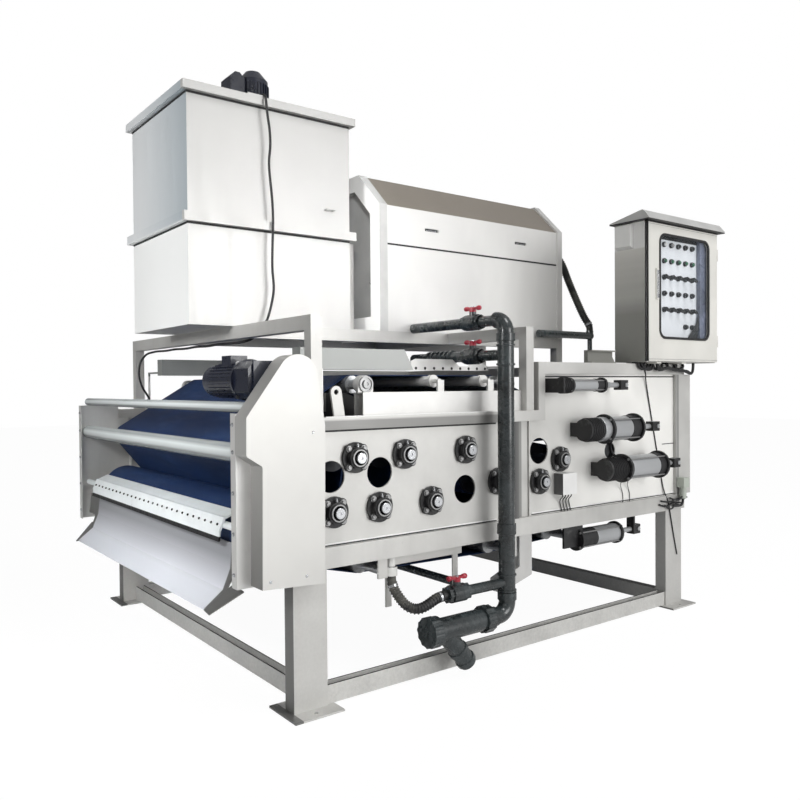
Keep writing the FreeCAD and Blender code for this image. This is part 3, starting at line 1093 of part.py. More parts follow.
def pipework():
    """The wash water riser with its elbows, spray branches, valves and strainer."""
    riser = [rod("riser_x", "pipe_y", "riser_low + bend_radius", "riser_dia",
                 "upper_spray_z - riser_low - 2*bend_radius"),
             quarter_bend("low", "riser_x - bend_radius", "pipe_y", "riser_low + bend_radius", "riser_dia"),
             quarter_bend("high", "riser_x", "pipe_y + bend_radius", "upper_spray_z - bend_radius",
                          "riser_dia")]
    start = "strainer_left"
    for dia, long in (("union_dia", "union_long"), ("strainer_dia", "strainer_long"),
                      ("second_union_dia", "second_union_long")):
        riser.append(rod(start, "pipe_y", "riser_low", dia, long, "x"))
        start += f" + {long}"
    riser.append(rod(start, "pipe_y", "riser_low", "riser_dia", f"riser_x - bend_radius - ({start})", "x"))
    riser.append(leaning_rod("strainer_leg_x", "pipe_y", "riser_low", "strainer_leg_dia", "strainer_leg_long",
                             "strainer_leg_angle"))
    riser.append(rod("branch_valve_x", "pipe_y", "branch_z", "branch_dia", "riser_x - branch_valve_x", "x"))
    riser += ball_valve("valve_handle_branch", "branch_valve_x", "pipe_y", "branch_z", "x")
    collar_top = "(leg_top - stub_long)"
    stub = fuse(rod("stub_x", "stub_y", collar_top, "stub_dia", "stub_long"),
                rod("stub_x", "stub_y", f"{collar_top} - stub_collar_long", "stub_collar_dia",
                    "stub_collar_long"))
    keep("wash_riser", fuse(*riser), stub)
    upper = fuse(rod("riser_x", "pipe_y + bend_radius", "upper_spray_z", "spray_dia",
                     "spray_end_y - pipe_y - bend_radius", "y"),
                 *ball_valve("valve_handle_upper", "riser_x", "spray_valve_y", "upper_spray_z", "y"))
    ribs = [rod("riser_x", f"rib_start + {number}*rib_pitch", "lower_spray_z", "rib_dia", "rib_long", "y")
            for number in range(round(size("rib_count")))]
    lower = cut(fuse(rod("riser_x", "pipe_y", "lower_spray_z", "spray_dia", "spray_end_y - pipe_y", "y"), *ribs,
                     *ball_valve("valve_handle_lower", "riser_x", "spray_valve_y", "lower_spray_z", "y")),
                rod("riser_x", "pipe_y", "lower_spray_z - riser_dia/2", "riser_dia", "riser_dia"))
    bar = rod("spray_bar_x", "member_deep", "spray_bar_z", "spray_bar_dia", "frame_width - 2*member_deep", "y")
    drain = fuse(rod("drain_pipe_left", "drain_pipe_y", "drain_pipe_z", "drain_pipe_dia",
                     "drain_pipe_right - drain_pipe_left", "x"),
                 ball("drain_pipe_right", "drain_pipe_y", "drain_pipe_z", "elbow_ball"),
                 rod("drain_pipe_right", "drain_pipe_y", "drain_pipe_z", "drain_pipe_dia", "elbow_neck"),
                 rod("drain_pipe_right", "drain_pipe_y", "drain_tail_low", "drain_tail_dia",
                     "drain_pipe_z - drain_tail_low"),
                 block("drain_clip_x", "drain_pipe_y", "drain_pipe_z - drain_clip_wide/2", "drain_clip_wide",
                       "drum_front - drain_pipe_y", "drain_clip_wide"))
    keep("spray_feed_pipes", upper, lower, bar, drain)


def drain():
    """The drain duct with its bent foot, and the junction box on the side plate."""
    right, foot = "(duct_left + duct_wide)", "(duct_left - duct_foot_long)"
    top = "(leg_top + lower_rail_high/2)"
    keep("drain_duct", profile("side", [(right, top), ("duct_left", top), ("duct_left",
                                                                           "duct_low + duct_foot_drop"),
                                        (foot, "duct_low"), (foot, "duct_low - duct_foot_high"), (right,
                                                                                                  "duct_low")],
                               "duct_deep", y="member_deep"))
    keep("junction_box", block("junction_left", "side_plate_inset - junction_deep", "junction_low",
                               "junction_wide", "junction_deep", "junction_high"))


def lines():
    """The wash hose, the thickener's drain hose and the mixer's cable, each along its route."""
    flexible("wash_hose", [(828.7, -100, 440), (772, -100, 440), (714, -98, 412), (656, -86, 392), (612, -54,
                                                                                                    408),
                           (590, -14, 452), (578, 30, 510), (578, 30, 555.7)], "wash_hose_dia")
    flexible("thickener_hose", [(2620.3, 760, 2430), (2665, 760, 2430), (2702, 750, 2378), (2740, 738, 2280),
                                (2784, 722, 2180), (2828, 704, 2080), (2866, 684, 1992), (2890, 660, 1947),
                                (2890, 660, 1906.3)], "thickener_hose_dia")
    flexible("motor_cable", [
        (300, 1134.7, 3200), (300, 1090, 3200), (299, 1025, 3160), (298, 950, 3123), (297, 895, 3118),
        (297, 850, 3120), (297, 814, 3131), (298, 781, 3108), (300, 778, 3066), (306, 779, 3010), (320, 780,
                                                                                                   2930),
        (325, 782, 2840), (312, 783, 2746), (322, 784, 2650), (334, 785, 2545), (338, 784, 2430), (331, 784,
                                                                                                   2290),
        (328, 785, 2160), (340, 784, 2052), (320, 785, 1956), (296, 786, 1876), (250, 787, 1806), (196, 795,
                                                                                                   1764),
        (156, 835, 1752), (146, 930, 1750), (144, 1090, 1755), (147, 1260, 1749), (144, 1430, 1755),
        (147, 1600, 1749), (144, 1770, 1755), (146, 1930, 1750), (132, 2070, 1753), (95, 2165, 1738),
        (62, 2198, 1680), (56, 2204, 1590), (80, 2210, 1510), (128, 2235, 1452), (162, 2300, 1428),
        (182, 2375, 1430), (191, 2432, 1414), (192, 2450, 1382)], "motor_cable_dia")


legs()
base_rails()
side_frames()
cross_beams()
upper_frame()
rollers()
bearings()
belts()
gravity_table()
mixing_tank()
drum_thickener()
cabinet()
hood()
discharge()
drive()
pneumatics()
pipework()
drain()
lines()
document.recompute()

faults = [thing.Label for thing in document.Objects if {"Invalid", "Error"} & set(thing.State)]
for node in nodes:
    if node.Shape.isNull() or not node.Shape.isValid() or not node.Shape.Solids:
        faults.append(node.Label)
if faults:
    raise SystemExit("these pieces did not build: " + ", ".join(faults))
os.makedirs("parts", exist_ok=True)
for node in nodes:
    node.Shape.exportStep(f"parts/{node.Label}.step")
print(len(nodes), "sub-parts")
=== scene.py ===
"""Dresses the belt filter press: finishes on every solid, fastenings, controls, hoses, stage and camera.

Places and profiles are in millimetres, from the front left corner of the side frame; finishes work in metres."""
import math

import bmesh
import bpy
from mathutils import Matrix, Vector


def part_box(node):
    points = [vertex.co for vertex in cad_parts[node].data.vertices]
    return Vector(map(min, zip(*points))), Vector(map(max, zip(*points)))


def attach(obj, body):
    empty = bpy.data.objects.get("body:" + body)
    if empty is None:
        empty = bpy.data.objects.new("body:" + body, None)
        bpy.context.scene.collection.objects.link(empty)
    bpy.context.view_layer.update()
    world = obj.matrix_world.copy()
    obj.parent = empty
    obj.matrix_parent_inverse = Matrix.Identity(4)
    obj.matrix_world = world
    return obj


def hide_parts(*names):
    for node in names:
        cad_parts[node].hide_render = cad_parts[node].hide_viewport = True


bl_info = {
    "name": "Belt Filter Press",
    "version": (1, 0, 0),
    "blender": (4, 5, 0),
    "location": "View3D > Sidebar > Belt Press",
    "description": "Finishes and details for a belt filter press with a mixing tank and a drum thickener",
    "category": "Object",
}

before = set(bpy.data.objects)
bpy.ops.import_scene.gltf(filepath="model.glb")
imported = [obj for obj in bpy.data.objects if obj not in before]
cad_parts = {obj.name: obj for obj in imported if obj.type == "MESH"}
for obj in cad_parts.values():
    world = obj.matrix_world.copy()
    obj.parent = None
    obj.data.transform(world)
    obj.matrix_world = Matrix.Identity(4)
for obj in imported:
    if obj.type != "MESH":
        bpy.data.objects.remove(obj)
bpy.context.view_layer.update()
PLAN = Vector((1.52, 1.25, 0.0))      # the frame's origin, in metres from the front left corner
FRONT, BACK, LEFT, RIGHT, UP = (0, -1, 0), (0, 1, 0), (-1, 0, 0), (1, 0, 0), (0, 0, 1)
WIDE = 2500                           # depth of the side frame
QUARTERS = [math.radians(45 + 90 * k) for k in range(4)]
# The second grey serves as weathered patches on the air cylinders and as painted shade on the junction box's
# discharge-side face.
BLACK, WEATHERING_AND_SHADE = (0.012, 0.012, 0.012), (0.10, 0.10, 0.10)


def at(x, y, z):
    """A point of the plan as a point of the frame."""
    return Vector((x / 1000, y / 1000, z / 1000)) - PLAN


# ---------------------------------------------------------------- properties
def colour(name, description, value):
    return bpy.props.FloatVectorProperty(name=name, description=description, default=value,
                                         subtype="COLOR", size=3, min=0, max=1)


def length(name, description, value):
    return bpy.props.FloatProperty(name=name, description=description, default=value, unit="LENGTH", min=0)


def angle(name, description, degrees):
    return bpy.props.FloatProperty(name=name, description=description, default=math.radians(degrees), subtype="ANGLE")


class PressFinishes(bpy.types.PropertyGroup):
    steel: colour("Frame steel", "Bead-blasted stainless sections", (0.555, 0.55, 0.53))
    sheet: colour("Sheet steel", "Bead-blasted stainless sheet", (0.62, 0.615, 0.60))
    roof: colour("Housing roof", "Taupe brushed housing roof", (0.25, 0.222, 0.188))
    cabinet: colour("Cabinet", "Powder-coated cabinet sheet", (0.66, 0.65, 0.61))
    belt: colour("Belt", "Woven filter belt", (0.009, 0.028, 0.092))
    iron: colour("Bearing iron", "Black cast housings", (0.009, 0.009, 0.01))
    motor: colour("Motor", "Navy black enamel", (0.007, 0.011, 0.03))
    pipe: colour("Pipe", "Grey-green plastic pipe", (0.016, 0.020, 0.021))
    lever: colour("Valve lever", "Red moulded lever", (0.33, 0.010, 0.028))
    rubber: colour("Rubber", "Black rubber and hose", (0.008, 0.008, 0.009))


class PressSizes(bpy.types.PropertyGroup):
    bolt_head: length("Bolt head", "Width across the head of a housing bolt", 0.022)
    bolt_high: length("Bolt height", "Height of a housing bolt's head", 0.011)
    bolt_circle: length("Bolt circle", "Diameter on which a housing's four bolts lie", 0.122)


class PressStage(bpy.types.PropertyGroup):
    floor_size: length("Floor", "Side of the floor", 60.0)
    lens: bpy.props.FloatProperty(name="Lens", description="Focal length on a 36 mm sensor",
                                  default=35.117, subtype="DISTANCE_CAMERA")
    eye: bpy.props.FloatVectorProperty(name="Eye", description="Place of the camera", subtype="TRANSLATION",
                                       default=(-3.2575, -4.3615, 1.5))
    yaw: angle("Yaw", "Heading from plus x towards plus y", 52.8645)
    pitch: angle("Pitch", "Upward tilt", -0.953)
    roll: angle("Roll", "Turn about the view direction", 0.4553)
    dim_side: bpy.props.FloatProperty(name="Dim side", description="World light from behind and the left", default=0.10)
    lit_side: bpy.props.FloatProperty(name="Lit side", description="World light from the front and above", default=0.50)


# ------------------------------------------------------------------ shaders
class Wire:
    """A shader socket. Arithmetic on it adds Math nodes to its material."""

    def __init__(self, finish, socket):
        self.finish, self.socket = finish, socket

    def reckon(self, operation, other=0.0):
        return self.finish.node("ShaderNodeMath", {"operation": operation}, {0: self, 1: other})

    def __add__(self, other): return self.reckon("ADD", other)
    def __sub__(self, other): return self.reckon("SUBTRACT", other)
    def __mul__(self, other): return self.reckon("MULTIPLY", other)
    def __abs__(self): return self.reckon("ABSOLUTE")


class Finish:
    """A procedural material on object coordinates."""

    def __init__(self, name, metallic=0.0, **constants):
        self.material = bpy.data.materials.new(name)
        self.material.use_nodes = True
        self.tree = self.material.node_tree
        self.shader = self.tree.nodes["Principled BSDF"]
        for socket, value in dict(Metallic=metallic, **constants).items():
            self.shader.inputs[socket.replace("_", " ")].default_value = value
        self.place = self.node("ShaderNodeTexCoord", output="Object")

    def node(self, kind, settings=None, inputs=None, output=0):
        node = self.tree.nodes.new(kind)
        for key, value in (settings or {}).items():
            if key == "stops":
                for index, (position, level) in enumerate(value):
                    stop = node.color_ramp.elements[index] if index < 2 else node.color_ramp.elements.new(position)
                    stop.position, stop.color = position, (level, level, level, 1)
            else:
                setattr(node, key, value)
        for key, value in (inputs or {}).items():
            self.feed(node.inputs[key], value)
        return Wire(self, node.outputs[output])

    def feed(self, socket, value):
        if isinstance(value, Wire):
            self.tree.links.new(value.socket, socket)
        else:
            socket.default_value = value

    def noise(self, scale, detail=3.0, rough=0.5, stretch=(1, 1, 1)):
        place = self.node("ShaderNodeMapping", None, {"Vector": self.place, "Scale": stretch})
        return self.node("ShaderNodeTexNoise", None,
                         {"Vector": place, "Scale": scale, "Detail": detail, "Roughness": rough})

    def axes(self):
        """The x, y and z of a point, in metres of the frame."""
        return [self.node("ShaderNodeSeparateXYZ", None, {0: self.place}, letter) for letter in "XYZ"]

    def ramp(self, value, low, high, start=0.0, end=1.0):
        return self.node("ShaderNodeMapRange", {"clamp": True}, {0: value, 1: low, 2: high, 3: start, 4: end})

    def mix(self, factor, first, second):
        return self.node("ShaderNodeMix", {"data_type": "RGBA"}, {0: factor, 6: rgba(first), 7: rgba(second)}, 2)

    def tint(self, cloud, value, dark, pale, low=0.35, high=0.65):
        """A colour that wavers between a darker and a paler shade."""
        return self.mix(self.ramp(cloud, low, high), shade(value, dark), shade(value, pale))

    def done(self, base, worn=None, smooth=0.0, rough=0.0, relief=None, depth=0.0005, strength=0.3):
        """Sets colour, roughness and relief, and gives the material."""
        self.feed(self.shader.inputs["Base Color"], base)
        if worn:
            self.feed(self.shader.inputs["Roughness"], self.ramp(worn, 0.3, 0.7, smooth, rough))
        if relief:
            self.feed(self.shader.inputs["Normal"], self.node(
                "ShaderNodeBump", None, {"Height": relief, "Distance": depth, "Strength": strength}))
        return self.material


def rgba(value):
    return value if isinstance(value, Wire) else tuple(value)[:3] + (1.0,)


def shade(value, factor):
    return tuple(min(1.0, channel * factor) for channel in tuple(value)[:3])


def blasted_steel(name, value, metallic=0.45, rough=0.4, stain=1.0):
    """Bead-blasted stainless: fine grain, cloudy patches, faint wiped streaks and darker seams of dirt."""
    coat = Finish(name, metallic)
    cloud, patch, streak = coat.noise(1.7, 4), coat.noise(7.5, 5, 0.62), coat.noise(3.2, 4, 0.6, (5, 5, 0.35))
    base = coat.tint(cloud * 0.5 + patch * 0.3 + streak * 0.2, value, 1 - 0.13 * stain, 1.07, 0.36, 0.62)
    spots = coat.ramp(coat.noise(26, 6, 0.7), 0.64, 0.74) * (0.22 * stain)
    return coat.done(coat.mix(spots, base, shade(value, 0.62)), patch * 0.6 + streak * 0.4, rough - 0.09, rough + 0.11,
                     coat.noise(420, 2) * 0.6 + coat.noise(95, 3) * 0.4, 0.0006, 0.35)


def brushed_steel(name, value, metallic=0.75, rough=0.3, along=(1, 18, 18)):
    coat = Finish(name, metallic)
    lines = coat.noise(30, 5, 0.7, along)
    base = coat.tint(lines * 0.6 + coat.noise(2.4, 3) * 0.4, value, 0.84, 1.1)
    return coat.done(base, lines, rough - 0.07, rough + 0.12, lines)


def powder_coat(name, value, rough):
    """Powder coat: orange peel and a few scuffs."""
    coat = Finish(name)
    scuff = coat.ramp(coat.noise(14, 6, 0.7, (1, 1, 4)), 0.66, 0.72) * 0.3
    base = coat.mix(scuff, coat.tint(coat.noise(3.1, 4), value, 0.93, 1.04), shade(value, 0.75))
    return coat.done(base, coat.noise(9, 4), rough - 0.06, rough + 0.1, coat.noise(180, 2), 0.0005, 0.25)


def woven_belt(name, value):
    """Filter cloth: warp across, fine weft, greyed where the belt is worn and damp."""
    coat = Finish(name, Specular_IOR_Level=0.3)
    x, y, z = coat.axes()
    weave = (y * 2100.0).reckon("SINE") * ((x + z * 0.93) * 1650.0).reckon("SINE")
    cloud = coat.noise(2.6, 5, 0.6, (1, 0.35, 1))
    wear = coat.ramp(coat.noise(8.5, 6, 0.65, (1, 0.25, 1)), 0.5, 0.72) * 0.45
    base = coat.mix(wear, coat.tint(cloud, value, 0.62, 1.45, 0.32, 0.68), (0.05, 0.10, 0.24))
    base = coat.mix(coat.ramp(weave, -1, 1) * 0.5, base, shade(value, 0.45))
    return coat.done(base, cloud, 0.5, 0.72, weave, 0.0006, 0.5)


def cast_iron(name, value):
    """Painted casting: pebbled skin with dusty patches."""
    coat = Finish(name)
    pebble = coat.noise(160, 3)
    grime = coat.ramp(coat.noise(24, 6, 0.7), 0.5, 0.72) * 0.35
    base = coat.mix(grime, coat.mix(pebble, shade(value, 0.7), shade(value, 1.6)), (0.12, 0.115, 0.105))
    return coat.done(base, coat.noise(40, 4), 0.32, 0.55, pebble, 0.001, 0.45)


def plastic(name, value, rough=0.34, gloss=0.0, scuffs=0.25, mottle=0.0):
    coat = Finish(name, Coat_Weight=gloss)
    lime = coat.ramp(coat.noise(17, 7, 0.72), 0.56, 0.74) * scuffs
    base = coat.tint(coat.noise(5.5, 4), value, 0.8 - 0.1 * mottle, 1.25 + mottle, 0.3, 0.7)
    return coat.done(coat.mix(lime, base, shade(value, 3.2 + 2 * mottle)), coat.noise(30, 4), rough - 0.08, rough + 0.14,
                     coat.noise(75, 3), 0.0006, 0.2)


def clear_glass(name):
    coat = Finish(name, IOR=1.45, Roughness=0.04, Base_Color=(0.30, 0.34, 0.36, 1))
    coat.feed(coat.shader.inputs["Alpha"], coat.ramp(coat.noise(6, 4, 0.6, (1, 1, 0.3)), 0.4, 0.75, 0.03, 0.08))
    return coat.material


def tank_sheet(name, value):
    """Tank sheet: brighter below the middle rim; a cool painted shade on the discharge-end face above it, darkest
    towards the front.
    """
    coat = Finish(name, 0.3)
    x, y, z = coat.axes()
    low = coat.ramp(z, 2.39, 2.37)
    base = coat.mix(low, coat.tint(coat.noise(1.3, 4), value, 0.76, 0.84), shade(value, 0.93))
    # Painted shade: the discharge-end face above the middle rim goes cool and dark, most at its front edge.
    side = coat.ramp(x, -1.6586, -1.6596) * coat.ramp(y, -0.4199, -0.4189)
    painted_side_shade = coat.mix(coat.ramp(y, 0.3, -0.42), (0.72, 0.74, 0.75), (0.42, 0.47, 0.50))
    base = coat.mix(side, base, coat.mix(low, painted_side_shade, (0.93, 0.94, 0.93)))
    return coat.done(base, coat.noise(3.2, 4, 0.6, (5, 5, 0.35)), 0.32, 0.46, coat.noise(420, 2), 0.0005, 0.25)


def side_sheet(name, value):
    """Side plate: brighter towards the tensioning end, with painted shade making its inner face dark."""
    coat = Finish(name, 0.3)
    x, y, z = coat.axes()
    patch = coat.noise(7.5, 5, 0.62)
    base = coat.tint(coat.noise(1.7, 4) * 0.6 + patch * 0.4, value, 0.92, 1.06, 0.36, 0.62)
    base = coat.mix(coat.ramp(x, 0.1, 0.75), base, shade(value, 1.6))
    # Painted shade: the inner faces of both plates go near black.
    base = coat.mix(coat.ramp(abs(y), 1.2225, 1.2205), base, (0.07, 0.07, 0.072))
    return coat.done(base, patch, 0.3, 0.45, coat.noise(420, 2))


def channel_steel(name, value):
    """Column: its open channel beside the riser and the recess at the far end lie in shade."""
    coat = Finish(name, 0.35)
    x, y, z = coat.axes()
    cloud = coat.noise(4.0, 4)
    deep = coat.mix(coat.ramp(x, -0.115, -0.02), (0.035, 0.035, 0.038), (0.26, 0.26, 0.25))
    inside = coat.ramp(x, -0.125, -0.120) * coat.ramp(x, -0.006, -0.012) * coat.ramp(z, 1.36, 1.35)
    base = coat.mix(inside, coat.tint(cloud, value, 0.92, 1.06), deep)
    recess = coat.ramp(x, 1.435, 1.490) * coat.ramp(x, 1.498, 1.493)
    return coat.done(coat.mix(recess * 0.8, base, (0.17, 0.17, 0.165)), cloud, 0.32, 0.46)


def banded_steel(name, value):
    """Upper rail: pale on top, with a shaded lower band on its face."""
    coat = Finish(name, 0.35)
    x, y, z = coat.axes()
    cloud = coat.noise(3.0, 4)
    band = coat.ramp(z, 1.352, 1.340) * coat.ramp(x, -0.18, -0.20)
    base = coat.mix(band * 0.85, coat.tint(cloud, value, 0.95, 1.08), shade(value, 0.34))
    return coat.done(base, cloud, 0.32, 0.46, coat.noise(420, 2))


def shaded_steel(name, value, dark):
    """Base rail whose top faces lie in shade."""
    coat = Finish(name, 0.1, Specular_IOR_Level=0.1)
    x, y, z = coat.axes()
    cloud, fleck = coat.noise(4.0, 4), coat.noise(60, 4, 0.7)
    base = coat.tint(cloud * 0.5 + fleck * 0.5, value, 0.88, 1.1, 0.38, 0.62)
    return coat.done(coat.mix(coat.ramp(z, 0.0993, 0.0999), base, dark), cloud, 0.34, 0.5, fleck, 0.0006)


def leg_steel(name, value):
    """Leg section: pale face, shaded on the side towards the discharge end."""
    coat = Finish(name, 0.35)
    x, y, z = coat.axes()
    cloud, fleck = coat.noise(4.0, 4), coat.noise(60, 4, 0.7)
    base = coat.tint(cloud * 0.6 + fleck * 0.4, value, 0.94, 1.08, 0.36, 0.62)
    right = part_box("leg_front_right")[0][0]
    dark = coat.ramp(x, -1.5188, -1.5194) + coat.ramp(x, right + 0.0012, right + 0.0006) * coat.ramp(x, 0.5, 0.6)
    return coat.done(coat.mix(dark, base, shade(value, 0.3)), cloud, 0.32, 0.5, fleck, 0.0006)


def guard_sheet(name, value):
    """Drive guard: pale face with painted shade on its folded edges, deepening towards the foot."""
    coat = Finish(name, 0.35)
    x, y, z = coat.axes()
    cloud = coat.noise(1.7, 4)
    # Painted shade on the folded edges, deeper towards the foot.
    painted_fold_shade = coat.mix(coat.ramp(z, 1.25, 0.62), shade(value, 0.72), shade(value, 0.34))
    base = coat.mix(coat.ramp(y, -1.3412, -1.3395), coat.tint(cloud, value, 0.98, 1.1, 0.36, 0.62), painted_fold_shade)
    return coat.done(base, cloud, 0.34, 0.46, coat.noise(420, 2))


def table_sheet(name, value):
    """Gravity table: bright trays, a bright plough strip and a darker box at the discharge end."""
    coat = Finish(name, 0.3)
    x, y, z = coat.axes()
    cloud = coat.noise(3.0, 4)
    box = coat.ramp(z, 1.588, 1.592) * coat.ramp(x, -0.600, -0.606)
    grey = coat.mix(coat.ramp(x, -1.3, -0.62), (0.27, 0.28, 0.27), (0.40, 0.41, 0.40))
    return coat.done(coat.mix(box, coat.tint(cloud, value, 0.95, 1.12, 0.36, 0.62), grey), cloud, 0.3, 0.44)


def two_tone(name, value, other, axis, low, high):
    """A coat that changes tone across one axis, used to paint light and shade onto single faces."""
    coat = Finish(name)
    cloud = coat.noise(6.0, 4)
    base = coat.mix(coat.ramp(coat.axes()[axis], low, high), coat.tint(cloud, value, 0.92, 1.06), other)
    return coat.done(base, cloud, 0.34, 0.48, coat.noise(180, 2), 0.0004, 0.2)


def cylinder_black(name, value):
    """Air cylinders: black barrels and brackets, with a pale air unit at the end of the lower rail."""
    coat = Finish(name)
    x, y, z = coat.axes()
    cloud = coat.noise(14, 6, 0.7)
    base = coat.mix(coat.ramp(cloud, 0.52, 0.72) * 0.6, value, WEATHERING_AND_SHADE)
    unit = coat.ramp(x, 1.405, 1.410) * coat.ramp(z, 0.90, 0.89)
    return coat.done(coat.mix(unit, base, (0.42, 0.45, 0.40)), cloud, 0.32, 0.5, cloud, 0.0008)


def housing_sheet(name, value, roof):
    """Thickener housing: pale sheet below the eave, taupe brushed sheet above it."""
    coat = Finish(name, 0.35)
    x, y, z = coat.axes()
    cloud, lines = coat.noise(1.1, 4, 0.55, (1, 1, 0.5)), coat.noise(22, 5, 0.7, (1, 14, 14))
    body = coat.tint(cloud, value, 1.06, 1.28, 0.38, 0.62)
    top = coat.tint(lines * 0.6 + cloud * 0.4, roof, 0.86, 1.15)
    return coat.done(coat.mix(coat.ramp(z, 2.6, 2.603), body, top), lines, 0.34, 0.5, coat.noise(420, 2), 0.0005, 0.25)


def cabinet_coat(name, value):
    """Cabinet sheet: pale front; a painted shade and dark reflection on the discharge side, olive-grey and darkening
    downwards; a painted dark line along the front edge.
    """
    coat = Finish(name)
    x, y, z = coat.axes()
    painted_light_bands = coat.noise(2.6, 3, 0.5, (0.1, 0.1, 1.6))
    # Painted shade and dark reflection on the discharge-side face, darkening downwards in streaks; paler on the cowl.
    side = coat.mix(coat.ramp(z + painted_light_bands * 0.5, 2.72, 2.22), (0.58, 0.57, 0.53), (0.215, 0.215, 0.195))
    side = coat.mix(coat.ramp(z, 2.375, 2.385), side, (0.66, 0.66, 0.64))
    base = coat.mix(coat.ramp(x, 1.013, 1.011), coat.tint(coat.noise(3.1, 4), value, 0.95, 1.04), side)
    # Painted shade: a near-black line at the front's left edge.
    edge = coat.ramp(y, -1.326, -1.328) * coat.ramp(x, 1.0180, 1.0165)
    return coat.done(coat.mix(edge, base, BLACK), coat.noise(9, 4), 0.36, 0.5, coat.noise(180, 2), 0.0004, 0.2)


def chute_sheet(name, value):
    """Chute: bright cool sheet with painted cloudy reflections, a painted shadow along its top and painted shade on its
    folded ends.
    """
    coat = Finish(name, 0.12, Roughness=0.3)
    x, y, z = coat.axes()
    # Painted cloudy reflections in the base colour.
    base = coat.tint(coat.noise(1.3, 1.0, 0.4, (1, 0.8, 1.6)), value, 0.86, 1.12, 0.15, 0.85)
    # Painted shadow: darker along the chute's top, under the drum.
    base = coat.mix(coat.ramp(z, 0.56, 0.72), base, shade(value, 0.36))
    # Painted shade: the folded ends go dark.
    return coat.done(coat.mix(coat.ramp(abs(y), 1.022, 1.030), base, (0.13, 0.13, 0.125)))


def chrome_bar(name, centre, radius):
    """Polished bar along the machine's width: a painted reflection, pale on top with darker bands below."""
    coat = Finish(name, 0.25, Roughness=0.27)
    x, y, z = coat.axes()
    value = (0.84, 0.90, 0.90)
    height = coat.ramp(z, centre - radius, centre + radius) + coat.noise(2.5, 1.5, 0.5, (1, 0.4, 1)) * 0.04 - 0.02
    stops = ((0.0, 0.10), (0.28, 0.16), (0.42, 0.62), (0.66, 0.95), (0.86, 0.5), (1.0, 0.8))
    # Painted reflection: pale on top, dark bands below.
    painted_light_bands = coat.node("ShaderNodeValToRGB", {"stops": stops}, {0: height})
    return coat.done(coat.mix(painted_light_bands, shade(value, 0.12), value))


def ribbed_hose(name, value):
    """Ribbed rubber hose with painted yellowish highlights in random patches."""
    coat = Finish(name)
    cloud = coat.noise(9, 5, 0.65)
    # Painted highlights: pale yellowish patches.
    base = coat.mix(coat.ramp(cloud, 0.46, 0.66) * 0.6, shade(value, 0.7), (0.17, 0.165, 0.14))
    return coat.done(base, cloud, 0.42, 0.6, coat.noise(120, 3), 0.0006)


FINISHES = {}
SOLIDS = (  # a finish and how the names of its solids start; the first match holds
    ("belt", "upper_belt lower_belt"), ("free_bar", "free_roller"), ("tie_bar", "tie_bar"),
    ("painted_shade_roller", "press_rollers"), ("roller", "guide_rollers discharge_drum"), ("table", "gravity_table"),
    ("box", "junction_box"), ("hat", "cabinet_roof"), ("end", "thickener_end_left"), ("drive", "drive_guard"),
    ("leg", "leg_"), ("base", "base_rails_long"), ("cross", "base_rails_cross"), ("strip", "scraper"),
    ("chute", "discharge_chute"), ("iron", "bearings"), ("motor", "gear_motor mixer_motor"), ("lever", "valve_handle"),
    ("pipe", "wash_riser spray_feed_pipes"), ("rubber", "wash_hose thickener_hose motor_cable"),
    ("glass", "cabinet_window"), ("panel", "cabinet_panel"), ("cabinet", "cabinet_"), ("plates", "side_plates"),
    ("channel", "columns_front"), ("low_band", "upper_rail_front"), ("housing", "thickener_housing"),
    ("tank", "tank_"), ("air", "tension_cylinders"),
    ("steel", "lower_rail upper_rail columns cross_beams upper_posts upper_cross upper_long"),
)


def finish_for(node):
    """The finish that a solid of the machine takes, by its name."""
    return next((finish for finish, starts in SOLIDS if node.startswith(tuple(starts.split()))), "sheet")


# ------------------------------------------------------------------ helpers
def show(name, made, finish, body="press", smooth=False):
    """Adds a mesh, or shapes joined to one, as a finished piece at the origin that rides on its body."""
    mesh = made if isinstance(made, bpy.types.Mesh) else to_mesh(join(made), name)
    piece = bpy.data.objects.new(name, mesh)
    bpy.context.scene.collection.objects.link(piece)
    mesh.materials.clear()
    mesh.materials.append(FINISHES[finish])
    for face in mesh.polygons:
        face.use_smooth = smooth
    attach(piece, body)
    return piece


def to_mesh(shape, name):
    mesh = bpy.data.meshes.new(name)
    shape.to_mesh(mesh)
    shape.free()
    return mesh


def join(shapes):
    """Many shapes as one."""
    whole = bmesh.new()
    for shape in shapes:
        part = to_mesh(shape, "part")
        whole.from_mesh(part)
        bpy.data.meshes.remove(part)
    return whole


def facing(direction):
    """A turn that brings plus z to a direction."""
    return Vector(direction).to_track_quat("Z", "Y").to_matrix().to_4x4()


def bridge(shape, low, high):
    """Faces between two rings of as many points, or of many points and one."""
    count = max(len(low), len(high))
    for k in range(count):
        after = (k + 1) % count
        corners = dict.fromkeys((low[k % len(low)], low[after % len(low)], high[after % len(high)], high[k % len(high)]))
        if len(corners) > 2:
            shape.faces.new(list(corners))


def lathe(points, steps, centre=(0, 0, 0), axis=UP, closed=False):
    """A turned shape: points are (along, radius) from the centre along an axis; its two ends are capped."""
    shape = bmesh.new()
    turn = Matrix.Translation(centre) @ facing(axis)
    rings = []
    for along, radius in points:
        angles = [2 * math.pi * k / steps for k in range(steps if radius else 1)]
        rings.append([shape.verts.new(turn @ Vector((radius / 1000 * math.cos(step), radius / 1000 * math.sin(step),
                                                     along / 1000))) for step in angles])
    for low, high in zip(rings, rings[1:] + (rings[:1] if closed else [])):
        bridge(shape, low, high)
    if not closed:
        for ring in (rings[0], rings[-1]):
            if len(ring) > 1:
                shape.faces.new(ring)
    bmesh.ops.recalc_face_normals(shape, faces=shape.faces)
    return shape


